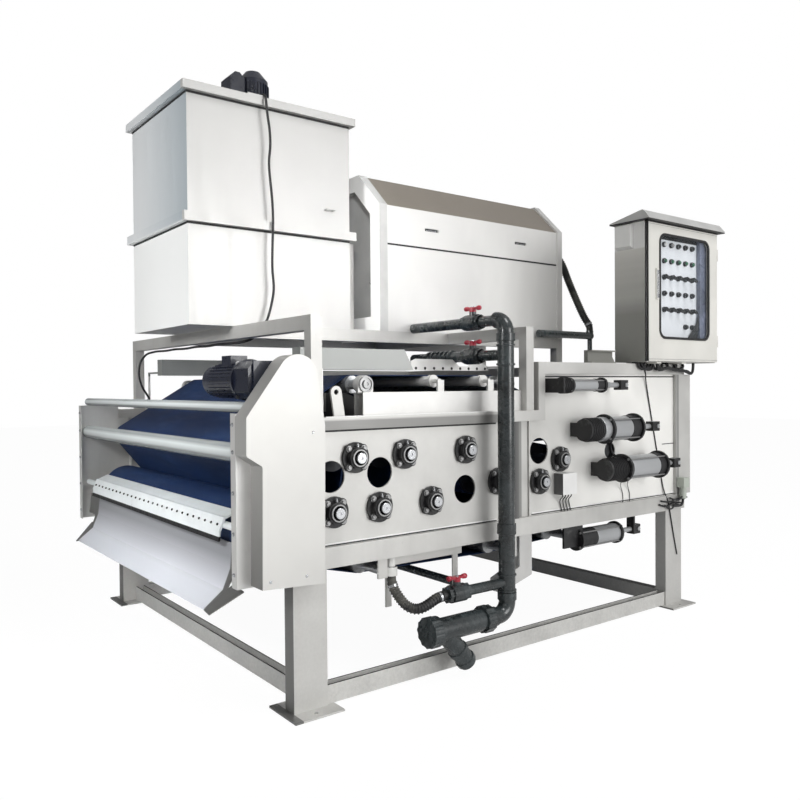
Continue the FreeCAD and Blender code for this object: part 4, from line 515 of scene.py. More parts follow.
def extruded(outline, low, high, place):
    """A prism over an outline of (u, v) points; place turns (u, v, depth) into a point of the machine."""
    shape = bmesh.new()
    ends = [[shape.verts.new(place(u, v, depth)) for u, v in outline] for depth in (low, high)]
    bridge(shape, *ends)
    for end in ends:
        shape.faces.new(end)
    bmesh.ops.recalc_face_normals(shape, faces=shape.faces)
    return shape


def slab(x0, x1, y0, y1, z0, z1, soft=1.2):
    """A plate between two corners of the plan, with rounded edges."""
    shape = bmesh.new()
    bmesh.ops.create_cube(shape, size=1)
    for corner in shape.verts:
        corner.co = at(x0 if corner.co.x < 0 else x1, y0 if corner.co.y < 0 else y1, z0 if corner.co.z < 0 else z1)
    bmesh.ops.bevel(shape, geom=shape.edges[:], offset=soft / 1000, segments=2, affect="EDGES", profile=0.7)
    return shape


def curve(name, points, resolution, radius=0.0, bevel=0):
    """A smooth line through points of the frame, round and capped where it has a radius."""
    data = bpy.data.curves.new(name, "CURVE")
    data.dimensions, data.resolution_u, data.use_fill_caps = "3D", resolution, radius > 0
    data.bevel_depth, data.bevel_resolution = radius, bevel
    spline = data.splines.new("NURBS")
    spline.points.add(len(points) - 1)
    for knot, point in zip(spline.points, points):
        knot.co = (*point, 1)
    spline.order_u, spline.use_endpoint_u = 3, True
    holder = bpy.data.objects.new(name, data)
    bpy.context.scene.collection.objects.link(holder)
    return holder


def mesh_of(holder):
    """The mesh that a curve makes; the curve goes."""
    mesh, data = bpy.data.meshes.new_from_object(holder), holder.data
    bpy.data.objects.remove(holder)
    bpy.data.curves.remove(data)
    return mesh


def tube(radius, *places):
    """A round line through places of the plan."""
    shape = bmesh.new()
    mesh = mesh_of(curve("line", [at(*place) for place in places], 6, radius / 1000, 2))
    shape.from_mesh(mesh)
    bpy.data.meshes.remove(mesh)
    return shape


def along_line(points, step):
    """Places and headings along the smooth line through points, in metres."""
    mesh = mesh_of(curve("route", points, 24))
    line = [vertex.co.copy() for vertex in mesh.vertices]
    bpy.data.meshes.remove(mesh)
    places, left = [], 0.0
    for first, second in zip(line, line[1:]):
        run = second - first
        while left < run.length:
            places.append((first + run.normalized() * left, run.normalized()))
            left += step
        left -= run.length
    return places


def repeat_tree():
    """Geometry Nodes: one copy of a part on every point, turned to the point's facing."""
    tree = bpy.data.node_groups.new("repeat_part", "GeometryNodeTree")
    for name, kind in (("Points", "Geometry"), ("Part", "Object"), ("Finish", "Material")):
        tree.interface.new_socket(name, in_out="INPUT", socket_type="NodeSocket" + kind)
    tree.interface.new_socket("Parts", in_out="OUTPUT", socket_type="NodeSocketGeometry")
    given, result, part, spread, real, heading, turn, coat = (tree.nodes.new(kind) for kind in (
        "NodeGroupInput", "NodeGroupOutput", "GeometryNodeObjectInfo", "GeometryNodeInstanceOnPoints",
        "GeometryNodeRealizeInstances", "GeometryNodeInputNamedAttribute", "FunctionNodeAlignRotationToVector",
        "GeometryNodeSetMaterial"))
    heading.data_type, turn.axis = "FLOAT_VECTOR", "Z"
    heading.inputs["Name"].default_value = "facing"
    for source, output, target, socket in (
            (given, "Points", spread, "Points"), (given, "Part", part, "Object"), (part, "Geometry", spread, "Instance"),
            (heading, 0, turn, "Vector"), (turn, 0, spread, "Rotation"), (spread, 0, real, 0),
            (real, 0, coat, "Geometry"), (given, "Finish", coat, "Material"), (coat, 0, result, 0)):
        tree.links.new(source.outputs[output], target.inputs[socket])
    return tree


def repeat(name, shape, places, finish, body="press", smooth=False):
    """Puts one shape on every place, a list of (point, facing), as one plain mesh."""
    part = bpy.data.objects.new("part", to_mesh(shape, "part"))
    points = bpy.data.meshes.new(name)
    points.from_pydata([tuple(point) for point, way in places], [], [])
    headings = points.attributes.new("facing", "FLOAT_VECTOR", "POINT")
    for item, (point, way) in zip(headings.data, places):
        item.vector = way
    holder = bpy.data.objects.new(name, points)
    for thing in (part, holder):
        bpy.context.scene.collection.objects.link(thing)
    modifier = holder.modifiers.new("repeat", "NODES")
    modifier.node_group = tree = bpy.data.node_groups.get("repeat_part") or repeat_tree()
    sockets = {item.name: item.identifier for item in tree.interface.items_tree if item.in_out == "INPUT"}
    modifier[sockets["Part"]], modifier[sockets["Finish"]] = part, FINISHES[finish]
    mesh = bpy.data.meshes.new_from_object(holder.evaluated_get(bpy.context.evaluated_depsgraph_get()))
    holder.modifiers.clear()
    for thing in (holder, part):
        bpy.data.objects.remove(thing)
    mesh.name = name
    return show(name, mesh, finish, body, smooth)


def both_sides(points):
    """Front places at (x, y, z), with their mirror images at the back."""
    return [(at(x, y, z), FRONT) for x, y, z in points] + [(at(x, WIDE - y, z), BACK) for x, y, z in points]


def hex_bolt(head, high, washer=1.5):
    """A hexagon head with a chamfered crown on its washer, standing on the origin."""
    across = head / 2 * 1.155
    return join([lathe([(0, head * washer / 2), (high * 0.22, head * washer / 2), (high * 0.22, head * 0.5)], 12),
                 lathe([(high * 0.2, across), (high * 0.86, across), (high, head / 2 * 0.92)], 6)])


# ------------------------------------------------------------------ operators
class PRESS_OT_finishes(bpy.types.Operator):
    """Makes the finishes and puts them on every solid of the machine"""
    bl_idname = "press.finishes"
    bl_label = "Finishes"

    def execute(self, context):
        values = context.scene.press_finishes
        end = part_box("thickener_end_left")[0][0]
        FINISHES.update({
            "steel": blasted_steel("frame_steel", values.steel),
            "sheet": blasted_steel("sheet_steel", values.sheet, 0.5, 0.36, 0.7),
            "tank": tank_sheet("tank_steel", values.sheet),
            "housing": housing_sheet("housing_steel", values.sheet, values.roof),
            "cabinet": cabinet_coat("cabinet_steel", values.cabinet),
            "plates": side_sheet("plate_steel", shade(values.steel, 1.06)),
            "base": shaded_steel("base_steel", values.steel, BLACK),
            "cross": shaded_steel("cross_steel", shade(values.steel, 0.8), (0.06, 0.06, 0.055)),
            "leg": leg_steel("leg_steel", shade(values.steel, 0.95)),
            "drive": guard_sheet("guard_steel", values.steel),
            "table": table_sheet("table_steel", shade(values.sheet, 1.15)),
            # Painted shade on the junction box's face towards the discharge end.
            "box": two_tone("box_steel", (0.74, 0.74, 0.73), WEATHERING_AND_SHADE, 0, 0.2546, 0.2536),
            # Painted light and shade on the thickener's left end: its outermost face near white, the rest grey.
            "end": two_tone("end_steel", (0.50, 0.50, 0.49), (0.96, 0.96, 0.95), 0, end + 0.0012, end + 0.0004),
            # Painted shade: black under the roof's lower edge.
            "hat": two_tone("roof_coat", (0.44, 0.44, 0.43), BLACK, 2, 2.5565, 2.5555),
            "air": cylinder_black("air_black", (0.009, 0.009, 0.010)),
            # Painted shade: the press rollers inside the frame are made near black.
            "painted_shade_roller": plastic("painted_shade_roller", (0.028, 0.033, 0.048), 0.4),
            # Bright sleeves that paint the highlight on the air cylinders' barrels.
            "silver": brushed_steel("silver_steel", (0.44, 0.45, 0.46), 0.55, 0.26, (0.01, 0.03, 0.03)),
            "channel": channel_steel("channel_steel", values.steel),
            "low_band": banded_steel("banded_steel", values.steel),
            "chute": chute_sheet("chute_steel", (0.80, 0.82, 0.88)),
            "strip": blasted_steel("strip_steel", (0.84, 0.88, 0.89), 0.1, 0.35, 0.8),
            "free_bar": chrome_bar("free_roller_steel", 1.208, 0.044),
            "tie_bar": chrome_bar("tie_bar_steel", 1.415, 0.025),
            "panel": powder_coat("panel_steel", (0.80, 0.83, 0.87), 0.5),
            "belt": woven_belt("belt_fabric", values.belt),
            "roller": brushed_steel("roller_steel", (0.50, 0.51, 0.52), 0.8, 0.3, (2, 0.6, 2)),
            "iron": cast_iron("bearing_iron", values.iron),
            "motor": plastic("motor_paint", shade(values.motor, 0.6), 0.3, 0.5, 0.0),
            "pipe": plastic("pipe_plastic", shade(values.pipe, 0.9), 0.25, 0.35, 0.8, 1.6),
            "lever": plastic("valve_red", values.lever, 0.3, 0.3, 0.1),
            "rubber": plastic("rubber_black", values.rubber, 0.5, 0.0, 0.15),
            "glass": clear_glass("glass_clear"),
            "bright": brushed_steel("bright_steel", (0.60, 0.61, 0.63), 0.9, 0.2, (12, 1, 12)),
            "bolt": brushed_steel("zinc_steel", (0.34, 0.34, 0.34), 0.85, 0.32, (6, 6, 6)),
            "hose": ribbed_hose("hose_rubber", (0.02, 0.02, 0.021)),
            # Painted highlights along the plate edges.
            "bright_edge": brushed_steel("edge_highlight_steel", (0.86, 0.86, 0.85), 0.1, 0.35),
            # Dark plastic for the cups that paint the shade behind the windows.
            "guard": plastic("painted_shade_plastic", (0.05, 0.052, 0.055), 0.5, 0.0, 0.6),
            "lamp": plastic("lamp_lens", (0.90, 0.91, 0.90), 0.16, 0.5, 0.05),
            "green": plastic("button_green", (0.012, 0.11, 0.045), 0.25, 0.3, 0.05),
            "duct": plastic("duct_plastic", (0.105, 0.118, 0.165), 0.3, 0.3, 0.6, 0.6),
            "white_plastic": plastic("white_plastic", (0.62, 0.62, 0.60), 0.35, 0.0, 0.1),
        })
        for name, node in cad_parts.items():
            finish = FINISHES[finish_for(name)]
            if not node.material_slots:
                node.data.materials.append(finish)
            for slot in node.material_slots:
                slot.material = finish
        return {"FINISHED"}


BEARINGS = ((356, 1162), (657, 1162), (1069, 1162), (234, 910), (497, 910), (828, 910),
            (1310, 973), (1643, 945), (1820, 1064), (-20, 826))


class PRESS_OT_bearing_fittings(bpy.types.Operator):
    """Adds the ears, bolts, cap rings, shaft ends and grease nipples of the flanged bearings"""
    bl_idname = "press.bearing_fittings"
    bl_label = "Bearing fittings"

    def execute(self, context):
        sizes = context.scene.press_sizes
        reach = sizes.bolt_circle * 500
        corners = [(x + reach * math.cos(turn), z + reach * math.sin(turn)) for x, z in BEARINGS for turn in QUARTERS]

        def fit(name, y, where, finish, shape):
            repeat(name, shape, both_sides([(x, y, z) for x, z in where]), finish)
        fit("bearing_ears", 4, corners, "iron", lathe([(-12, 21), (1, 21), (3, 19)], 16))
        fit("bearing_bolts", 1, corners, "bolt", hex_bolt(sizes.bolt_head * 1000, sizes.bolt_high * 1000))
        fit("bearing_caps", -26, BEARINGS, "iron", lathe(
            [(-1, 47), (4, 47), (7, 43), (7, 34), (3, 32), (3, 26.5), (-1, 26.5)], 32, closed=True))
        fit("bearing_rings", -26, BEARINGS, "bolt", lathe([(6, 42.5), (8.6, 41.5), (8.6, 36), (6, 35)], 32))
        fit("shaft_ends", -36, BEARINGS, "bright", lathe(
            [(-1, 26.2), (9, 26.2), (10.5, 24.5), (10.5, 6), (6, 4), (6, 0)], 24))
        nipple = lathe([(0, 6), (8, 6), (9, 3.5), (16, 3.5), (19, 5), (22, 0)], 10)
        repeat("grease_nipples", nipple, [(at(x, y, z + 51), UP) for x, z in BEARINGS for y in (-10, WIDE + 10)], "bright")
        fit("table_bearing_races", 99.5, ((480, 1515), (1480, 1515)), "bolt", lathe(
            [(0, 43), (6, 43), (9, 40), (9, 33), (3, 31), (3, 23), (10, 22), (12, 19), (12, 10), (7, 8), (7, 0)], 32))
        return {"FINISHED"}


CYLINDERS = (  # height, start, barrel from and to, fork end, barrel, bellows and disc diameter, plan y, painted highlight from and to
    (1502, 1700, 1800, 2080, 2313, 70, 84, 92, (-80, WIDE + 80), 1800, 2020),
    (1235, 1920, 2120, 2390, 2640, 146, 132, 178, (-80, WIDE + 80), 2045, 2310),
    (985, 2110, 2290, 2650, 2870, 146, 132, 178, (-80, WIDE + 80), 2315, 2590),
    (562, 1990, 1990, 2350, 2590, 116, 0, 140, (34,), 2130, 2350),
)


class PRESS_OT_cylinder_fittings(bpy.types.Operator):
    """Adds the bright sleeves that paint the highlight along the barrels, end covers, rods, bellows folds and tie rods
    of the air cylinders
    """
    bl_idname = "press.cylinder_fittings"
    bl_label = "Cylinder fittings"

    def execute(self, context):
        bright, dark, folds, ties, nuts = [], [], [], [], []
        for z, left, body, end, fork, barrel, bellows, disc, sides, lit_from, lit_to in CYLINDERS:
            for y in sides:
                def sleeve(x0, x1, r):
                    return lathe([(0, r - 1.2), (2.5, r), (x1 - x0 - 2.5, r), (x1 - x0, r - 1.2)], 40, at(x0, y, z), RIGHT)
                r = barrel / 2 + 1.2
                # Painted highlight: the barrel is sleeved bright only between lit_from and lit_to.
                bright.append(sleeve(max(lit_from, body + 0.5), min(lit_to, end - 0.5), r))
                if lit_from > body + 10:
                    dark.append(sleeve(body + 0.5, lit_from, r + 0.8))
                if lit_to < end - 10:
                    dark.append(sleeve(lit_to, end - 0.5, r + 2.5))
                if lit_from < body - 20:
                    bright.append(sleeve(lit_from, body - 16.5, r))
                    dark.append(sleeve(body - 17.2, body + 1.2, disc / 2 + 1.2))
                bright.append(sleeve(end + 17, fork - 71, 15.8))
                bright.append(slab(fork - 68, fork - 38, y - 24.5, y + 24.5, z - 31, z + 31))
                dark.append(sleeve(end + 16.5, end + 34, disc / 2 * 0.55))
                bright.append(lathe([(0, 6), (0, 13), (66, 13), (66, 0)], 16, at(fork - 18, y - 33, z), BACK))
                bright += [lathe([(0, 19), (12, 19), (12, 16)], 6, at(end + run, y, z), RIGHT) for run in (46, 68)]
                for turn in QUARTERS:
                    reach = disc / 2 - 8
                    place = (y + reach * math.cos(turn), z + reach * math.sin(turn))
                    ties.append(lathe([(0.5, 4.5), (end - body - 0.5, 4.5)], 8, at(body, *place), RIGHT))
                    nuts += [(at(end + 16, *place), RIGHT), (at(body - 16, *place), LEFT)]
                r, first = bellows / 2, left + 18
                for k in range(int((min(lit_from, body - 18) - first) / 16) if bellows else 0):
                    folds.append(lathe([(0, r - 1), (4, r + 6), (8, r + 6), (12, r - 1)], 28, at(first + k * 16, y, z), RIGHT))
        show("cylinder_sleeves", bright, "silver")
        show("cylinder_covers", dark, "rubber")
        show("cylinder_bellows", folds, "rubber")
        show("cylinder_tie_rods", ties, "bolt")
        repeat("cylinder_nuts", hex_bolt(13, 8, 1.2), nuts, "bolt")
        return {"FINISHED"}


class PRESS_OT_scraper_bolts(bpy.types.Operator):
    """Adds the bolt row and the rubber edge of the scraper"""
    bl_idname = "press.scraper_bolts"
    bl_label = "Scraper bolts"

    def execute(self, context):
        way = Vector((-66, 0, 28)).normalized()
        row = [(at(-232.5, 287 + 71 * k, 869) + way * 0.0006, way) for k in range(28)]
        repeat("scraper_bolts", hex_bolt(10, 6, 1.3), row, "iron")
        edge = ((-235.4, 816), (-238.5, 794.5), (-248.5, 794.5), (-245.4, 816))
        show("scraper_rubber", [extruded(edge, 249.5, 2250.5, lambda u, v, y: at(u, y, v))], "rubber")
        return {"FINISHED"}


def rounded_loop(x0, x1, z0, z1, radius, steps=8):
    return [(cx + radius * math.cos(turn), cz + radius * math.sin(turn))
            for cx, cz, start in ((x1 - radius, z1 - radius, 0), (x0 + radius, z1 - radius, 90),
                                  (x0 + radius, z0 + radius, 180), (x1 - radius, z0 + radius, 270))
            for turn in (math.radians(start + 90 * k / steps) for k in range(steps + 1))]


def band(outer, inner, y0, y1):
    """A closed frame between two loops of the side view."""
    shape = bmesh.new()
    rows = [[shape.verts.new(at(x, y, z)) for x, z in loop]
            for loop, y in ((outer, y1), (outer, y0), (inner, y0), (inner, y1))]
    for low, high in zip(rows, rows[1:] + rows[:1]):
        bridge(shape, low, high)
    bmesh.ops.recalc_face_normals(shape, faces=shape.faces)
    return shape


class PRESS_OT_cabinet_fittings(bpy.types.Operator):
    """Adds the window gasket, the lamps, buttons and switches, the wiring duct and the lock of the cabinet"""
    bl_idname = "press.cabinet_fittings"
    bl_label = "Cabinet fittings"

    def execute(self, context):
        gasket = band(rounded_loop(2649, 3227, 1799, 2485, 63), rounded_loop(2665, 3211, 1815, 2469, 47), -104, -95.5)
        show("window_gasket", [gasket], "rubber", "cabinet_door")
        front, spare = -66.5, 1890                       # the panel's face, and the height of the short last row
        columns, rows = [2768 + 80 * k for k in range(5)], [2425 - 107 * k for k in range(5)]
        grid = [(x, z) for x in columns for z in rows] + [(x, spare) for x in columns[3:]]
        bezel = lathe([(-15.5, 17.5), (-3, 17.5), (-1, 15.5), (-1, 13.2), (-15.5, 13.2)], 20, closed=True)
        repeat("button_bezels", bezel, [(at(x, front, z), FRONT) for x, z in grid], "rubber")
        lens = [(-2, 13), (4, 12.8), (8, 10), (10, 5.5), (10.5, 0)]
        for name, finish, row, picks in (("lamps_black", "rubber", 0, (2, 3, 4)), ("lamps_clear", "lamp", 0, (0,)),
                                         ("lamps_grey", "bolt", 0, (1,)), ("buttons_green", "green", 1, range(5)),
                                         ("buttons_dark", "rubber", 3, range(5))):
            places = [(at(columns[pick], front, rows[row]), FRONT) for pick in picks]
            repeat(name, lathe(lens, 16), places, finish, smooth=True)
        selectors = [(x, rows[r]) for r in (2, 4) for x in columns]
        knobs = [lathe([(-2, 13.5), (6, 12.5), (7, 0)], 16, at(x, front, z), FRONT) for x, z in selectors]
        knobs += [lathe([(-2, 13.5), (8, 12.5), (9, 0)], 16, at(x, front, spare), FRONT) for x in columns[3:]]
        for x, z in selectors:
            arm = slab(-24, 24, -24, -4, -6, 6, 2)
            turn = Matrix.Rotation(math.radians(24), 4, "Y") @ Matrix.Translation(PLAN)
            bmesh.ops.transform(arm, matrix=Matrix.Translation(at(x, front, z)) @ turn, verts=arm.verts)
            knobs.append(arm)
        show("selector_knobs", knobs, "rubber")
        duct = [slab(3150, 3262, -78, -50.2, 1700, 2500, 3)]
        duct += [slab(3152, 3260, -79.5, -77, 1720 + 30 * k, 1728 + 30 * k, 0.5) for k in range(26)]
        show("wiring_duct", duct, "duct")
        cables = [tube(6.5, (3020 + 12 * k, -56 - 3 * (k % 3), 1700), (3030 + 20 * k, -58, 1780),
                       (3060 + 18 * k, -60, 1850 + 12 * k), (3155, -64, 1880 + 20 * k)) for k in range(6)]
        show("panel_cables", cables, "rubber", smooth=True)
        lock = [slab(2616, 2630, -118, -110, 2085, 2215, 3), slab(2613, 2633, -112.5, -109, 2060, 2240, 1)]
        show("door_lock_handle", lock, "bright", "cabinet_door")
        rim = [slab(2534, 3326, -101.2, -99.5, z, z + 2.2, 0.5) for z in (1666.5, 2532)]
        show("door_edge_lines", rim, "bolt", "cabinet_door")
        return {"FINISHED"}


def lobed(centre, axis, radius, long):
    """A union nut with rounded grip lobes, along an axis from its centre face."""
    turn = Matrix.Translation(centre) @ facing(axis)
    lobes = 8 if radius < 50 else 12
    outline = [((radius + 3.5 * math.cos(lobes * step)) * math.cos(step), (radius + 3.5 * math.cos(lobes * step)) * math.sin(step))
               for step in (2 * math.pi * k / (lobes * 6) for k in range(lobes * 6))]
    return extruded(outline, 0, long, lambda u, v, depth: turn @ Vector((u / 1000, v / 1000, depth / 1000)))


class PRESS_OT_pipe_fittings(bpy.types.Operator):
    """Adds socket collars, union nuts, strainer ribs, lever grips and lever screws to the wash water pipes"""
    bl_idname = "press.pipe_fittings"
    bl_label = "Pipe fittings"

    def execute(self, context):
        y, x = -100, 1260                                # the wash line's plan y, and the riser's plan x
        pieces = [lathe([(0, 45.5), (2, 51.5), (long - 2, 51.5), (long, 45.5)], 36, at(*place), way)
                  for place, way, long in [((x, y, z), UP, long) for z, long in (
                      (345, 45), (392, 12), (476, 12), (700, 60), (1612, 12), (1716, 12), (1742, 45))]
                  + [((1124, y, 270), RIGHT, 45)]]
        pieces += [lobed(at(*centre), way, radius, long) for centre, way, radius, long in (
            ((828.5, y, 440), RIGHT, 39.5, 26.5), ((945, y, 440), RIGHT, 39.5, 26.5),
            ((x, 89, 1860), BACK, 38.5, 26), ((x, 205, 1860), BACK, 38.5, 26),
            ((x, 89, 1670), BACK, 38.5, 26), ((x, 205, 1670), BACK, 38.5, 26),
            ((699, y, 270), RIGHT, 75.5, 54), ((1069, y, 270), RIGHT, 69.5, 52))]
        lean = Vector((math.sin(math.radians(140)), 0, math.cos(math.radians(140))))
        tip = at(800, y, 270)
        pieces += [lathe([(0, 49.5), (3, 54.5), (26, 54.5), (30, 49.5)], 36, tip + lean * run, lean) for run in (0.150, 0.226)]
        pieces.append(lathe([(0, 49), (6, 47), (13, 38), (16, 20), (17, 0)], 36, tip + lean * 0.261, lean))
        show("pipe_fittings", pieces, "pipe")
        show("stub_sleeve", [lathe([(0, 29.5), (2, 30.5), (42, 30.5), (44, 29.5)], 28, at(578, 30, 556)),
                             lathe([(0, 20.5), (50, 20.5)], 24, at(578, 30, 600))], "white_plastic")
        for name, way, place in (("branch", RIGHT, (900, y, 526.3)), ("upper", BACK, (x, 160, 1946.3)),
                                 ("lower", BACK, (x, 160, 1756.3))):
            way, top, body = Vector(way), at(*place), f"valve_lever_{name}"
            grip = [lathe([(0, 9), (4, 12.5), (20, 14), (28, 12), (31, 0)], 14, top + way * 0.034 * sign - Vector((0, 0, 0.006)),
                          way * sign) for sign in (-1, 1)]
            show(f"lever_grip_{name}", grip, "lever", body, smooth=True)
            repeat(f"lever_screw_{name}", hex_bolt(14, 7), [(top - Vector((0, 0, 0.0003)), UP)], "bright", body)
        return {"FINISHED"}


class PRESS_OT_housing_fittings(bpy.types.Operator):
    """Adds the flap handles of the thickener housing, the plough's holes, hood bolts and dark cups of painted shade
    behind the side plate windows
    """
    bl_idname = "press.housing_fittings"
    bl_label = "Housing fittings"

    def execute(self, context):
        flaps = (1356, 2150)
        show("seam_shadows", [slab(x + 1, x + 109, 709.5, 711.5, 2477, 2493, 0.5) for x in flaps], "rubber")
        show("flap_grips", [slab(x + 12, x + 98, 701.5, 705.5, 2480, 2484.5, 1) for x in flaps], "bright")
        # Painted shade: dark discs stand for the plough's holes.
        holes = both_sides([(885 + 65.5 * k, 289.6, 1604) for k in range(10)])
        repeat("plough_holes", lathe([(0, 8.5), (0.6, 8.5)], 14), holes, "rubber")
        bolts = [(at(-265.2, y, z), LEFT) for y in (48, WIDE - 48) for z in (680, 860, 1040, 1220, 1340)]
        repeat("hood_bolts", hex_bolt(14, 7), bolts, "bright")
        # Painted shade: dark cups inside the side plates darken what shows through the windows.
        cups = [lathe([(0, 53), (0, 60), (32, 60), (32, 0), (29, 0), (29, 53)], 36, at(2296, y, 1088), way, closed=True)
                for y, way in ((30.3, BACK), (WIDE - 30.3, FRONT))]
        show("window_guards", cups, "guard")
        screws = [(at(x, -92.2, z), FRONT) for x, z in ((20, 660), (-160, 660), (60, 1300))]
        repeat("guard_screws", lathe([(0, 7), (2, 6.5), (3, 4)], 14), screws, "bright")
        return {"FINISHED"}


LINES = (  # dark lines: painted shadow in the gaps under the rails and rims, round the cabinet door and across the window's top, and one housing seam: plan x0, x1, y0, y1, z0, z1
    (185, 1300, 18.8, 20.2, 1290, 1299), (185, 1300, 18.8, 20.2, 751, 757),
    (1690, 3000, 18.8, 20.2, 1551, 1559), (1580, 3000, 18.8, 20.2, 754, 760),
    (2850, 3000, 18.8, 20.2, 1098, 1103), (2662, 3216, -53, -50.2, 2458, 2500),
    (-141, 876, 828.8, 830.2, 2369, 2380), (-141.2, -139.8, 830, 1680, 2369, 2380),
    (-141, 876, 828.8, 830.2, 3053, 3065), (-141.2, -139.8, 830, 1680, 3053, 3065),
    (1030, 2600, 698.8, 700.2, 2362, 2373), (2533.5, 2536.2, -100.8, -99.5, 1650, 2550),
    (2530, 3330, -100.8, -99.5, 2542, 2550),
)
# Painted highlights: pale strips along the plate edges above the lower rails and on the upper rail's face.
EDGE_HIGHLIGHTS = ((185, 1300, 17, 20.2, 757.5, 764), (1580, 3000, 17, 20.2, 760.5, 767), (185, 1300, 0.5, 4, 1360, 1364))


class PRESS_OT_seam_and_shadow_lines(bpy.types.Operator):
    """Adds dark lines of painted shadow along the rails, plates, tank rims and cabinet door, a dark housing seam, and
    painted highlights along the plate edges
    """
    bl_idname = "press.joint_lines"
    bl_label = "Seam and shadow lines"

    def execute(self, context):
        show("joint_lines", [slab(*line, soft=0.2) for line in LINES], "rubber")
        show("plate_beads", [slab(*line, soft=0.4) for line in EDGE_HIGHLIGHTS], "bright_edge")
        return {"FINISHED"}


def fins(centre, along, across, count, half, outline):
    """Cooling fins round a motor that lies along an axis; the outline is (radius, run) and half is half a fin's thickness."""
    along, across, start, pieces = Vector(along), Vector(across), Vector(RIGHT), []
    for turn in (2 * math.pi * k / count for k in range(count)):
        out = start * math.cos(turn) + across * math.sin(turn)
        side = across * math.cos(turn) - start * math.sin(turn)
        pieces.append(extruded(outline, -half, half,
                               lambda r, run, depth: centre + out * (r / 1000) + along * (run / 1000) + side * (depth / 1000)))
    return pieces


class PRESS_OT_motor_fittings(bpy.types.Operator):
    """Adds the cooling fins, fan cover slots and cover bolts of the two motors"""
    bl_idname = "press.motor_fittings"
    bl_label = "Motor fittings"

    def execute(self, context):
        x, z, mixer = -110, 1537, at(430, 1200, 3110)    # the gear motor's axis, and the mixer motor's foot
        show("motor_fins", fins(at(x, 198, z), BACK, UP, 28, 1.8, ((76, 6), (86, 14), (86, 288), (76, 296)))
             + fins(mixer, UP, BACK, 30, 2, ((88, 50), (97, 58), (97, 205), (88, 215))), "motor")
        cowl = lathe([(0, 75.5), (2, 77.5), (58, 76.5), (62, 70), (63.5, 50), (63.5, 0)], 40, at(x, 498, z), BACK)
        show("fan_cover", [cowl], "motor")
        # Painted shade: dark discs stand for the fan cover's slots.
        holes = [(at(x + r * math.cos(turn), 561.7, z + r * math.sin(turn)), BACK)
                 for r, n in ((18, 6), (32, 12), (46, 18)) for turn in (2 * math.pi * k / n for k in range(n))]
        repeat("fan_slots", lathe([(0, 4.2), (0.5, 4.2)], 10), holes, "rubber")
        bolts = [(at(x + 62 * a, 182, z + 75 * b), BACK) for a in (-1, 1) for b in (-1, 1)]
        repeat("motor_bolts", hex_bolt(16, 9), bolts, "bolt")
        show("mixer_foot", [lathe([(0, 108), (10, 108), (14, 100), (30, 96)], 36, mixer),
                            slab(235, 365, 1115, 1285, 3110, 3122, 2)], "motor")
        return {"FINISHED"}


HOSES = {  # diameter and route
    "wash_hose": (46, ((828.7, -100, 440), (772, -100, 440), (714, -98, 412), (656, -86, 392), (612, -54, 408),
                       (590, -14, 452), (578, 30, 510), (578, 30, 555.7))),
    "thickener_hose": (48, ((2620.3, 760, 2430), (2665, 760, 2430), (2702, 750, 2378), (2740, 738, 2280), (2784, 722, 2180),
                            (2828, 704, 2080), (2866, 684, 1992), (2890, 660, 1947), (2890, 660, 1906.3))),
}


class PRESS_OT_hoses(bpy.types.Operator):
    """Lays the wash hose and the thickener's drain hose along their routes"""
    bl_idname = "press.hoses"
    bl_label = "Hoses"

    def execute(self, context):
        for name, (diameter, route) in HOSES.items():
            points, r = [at(*place) for place in route], diameter / 2
            hose = curve(name, points, 16, r / 1000, 5)
            hose.name = name + "_line"
            hose.data.materials.append(FINISHES["hose"])
            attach(hose, "press")
            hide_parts(name)
            places = along_line(points, 0.0150)
            rib = lathe([(-4.2, r - 1.2), (-2.2, r + 4), (2.2, r + 4), (4.2, r - 1.2)], 16)
            ribs = repeat(name + "_ribs", rib, places[2:-2], "hose")
            tie = lathe([(-6, r - 1), (-6, r + 3.8), (6, r + 3.8), (6, r - 1)], 24)
            ties = repeat(name + "_clips", tie, [places[3], places[-4]], "bright")
        return {"FINISHED"}


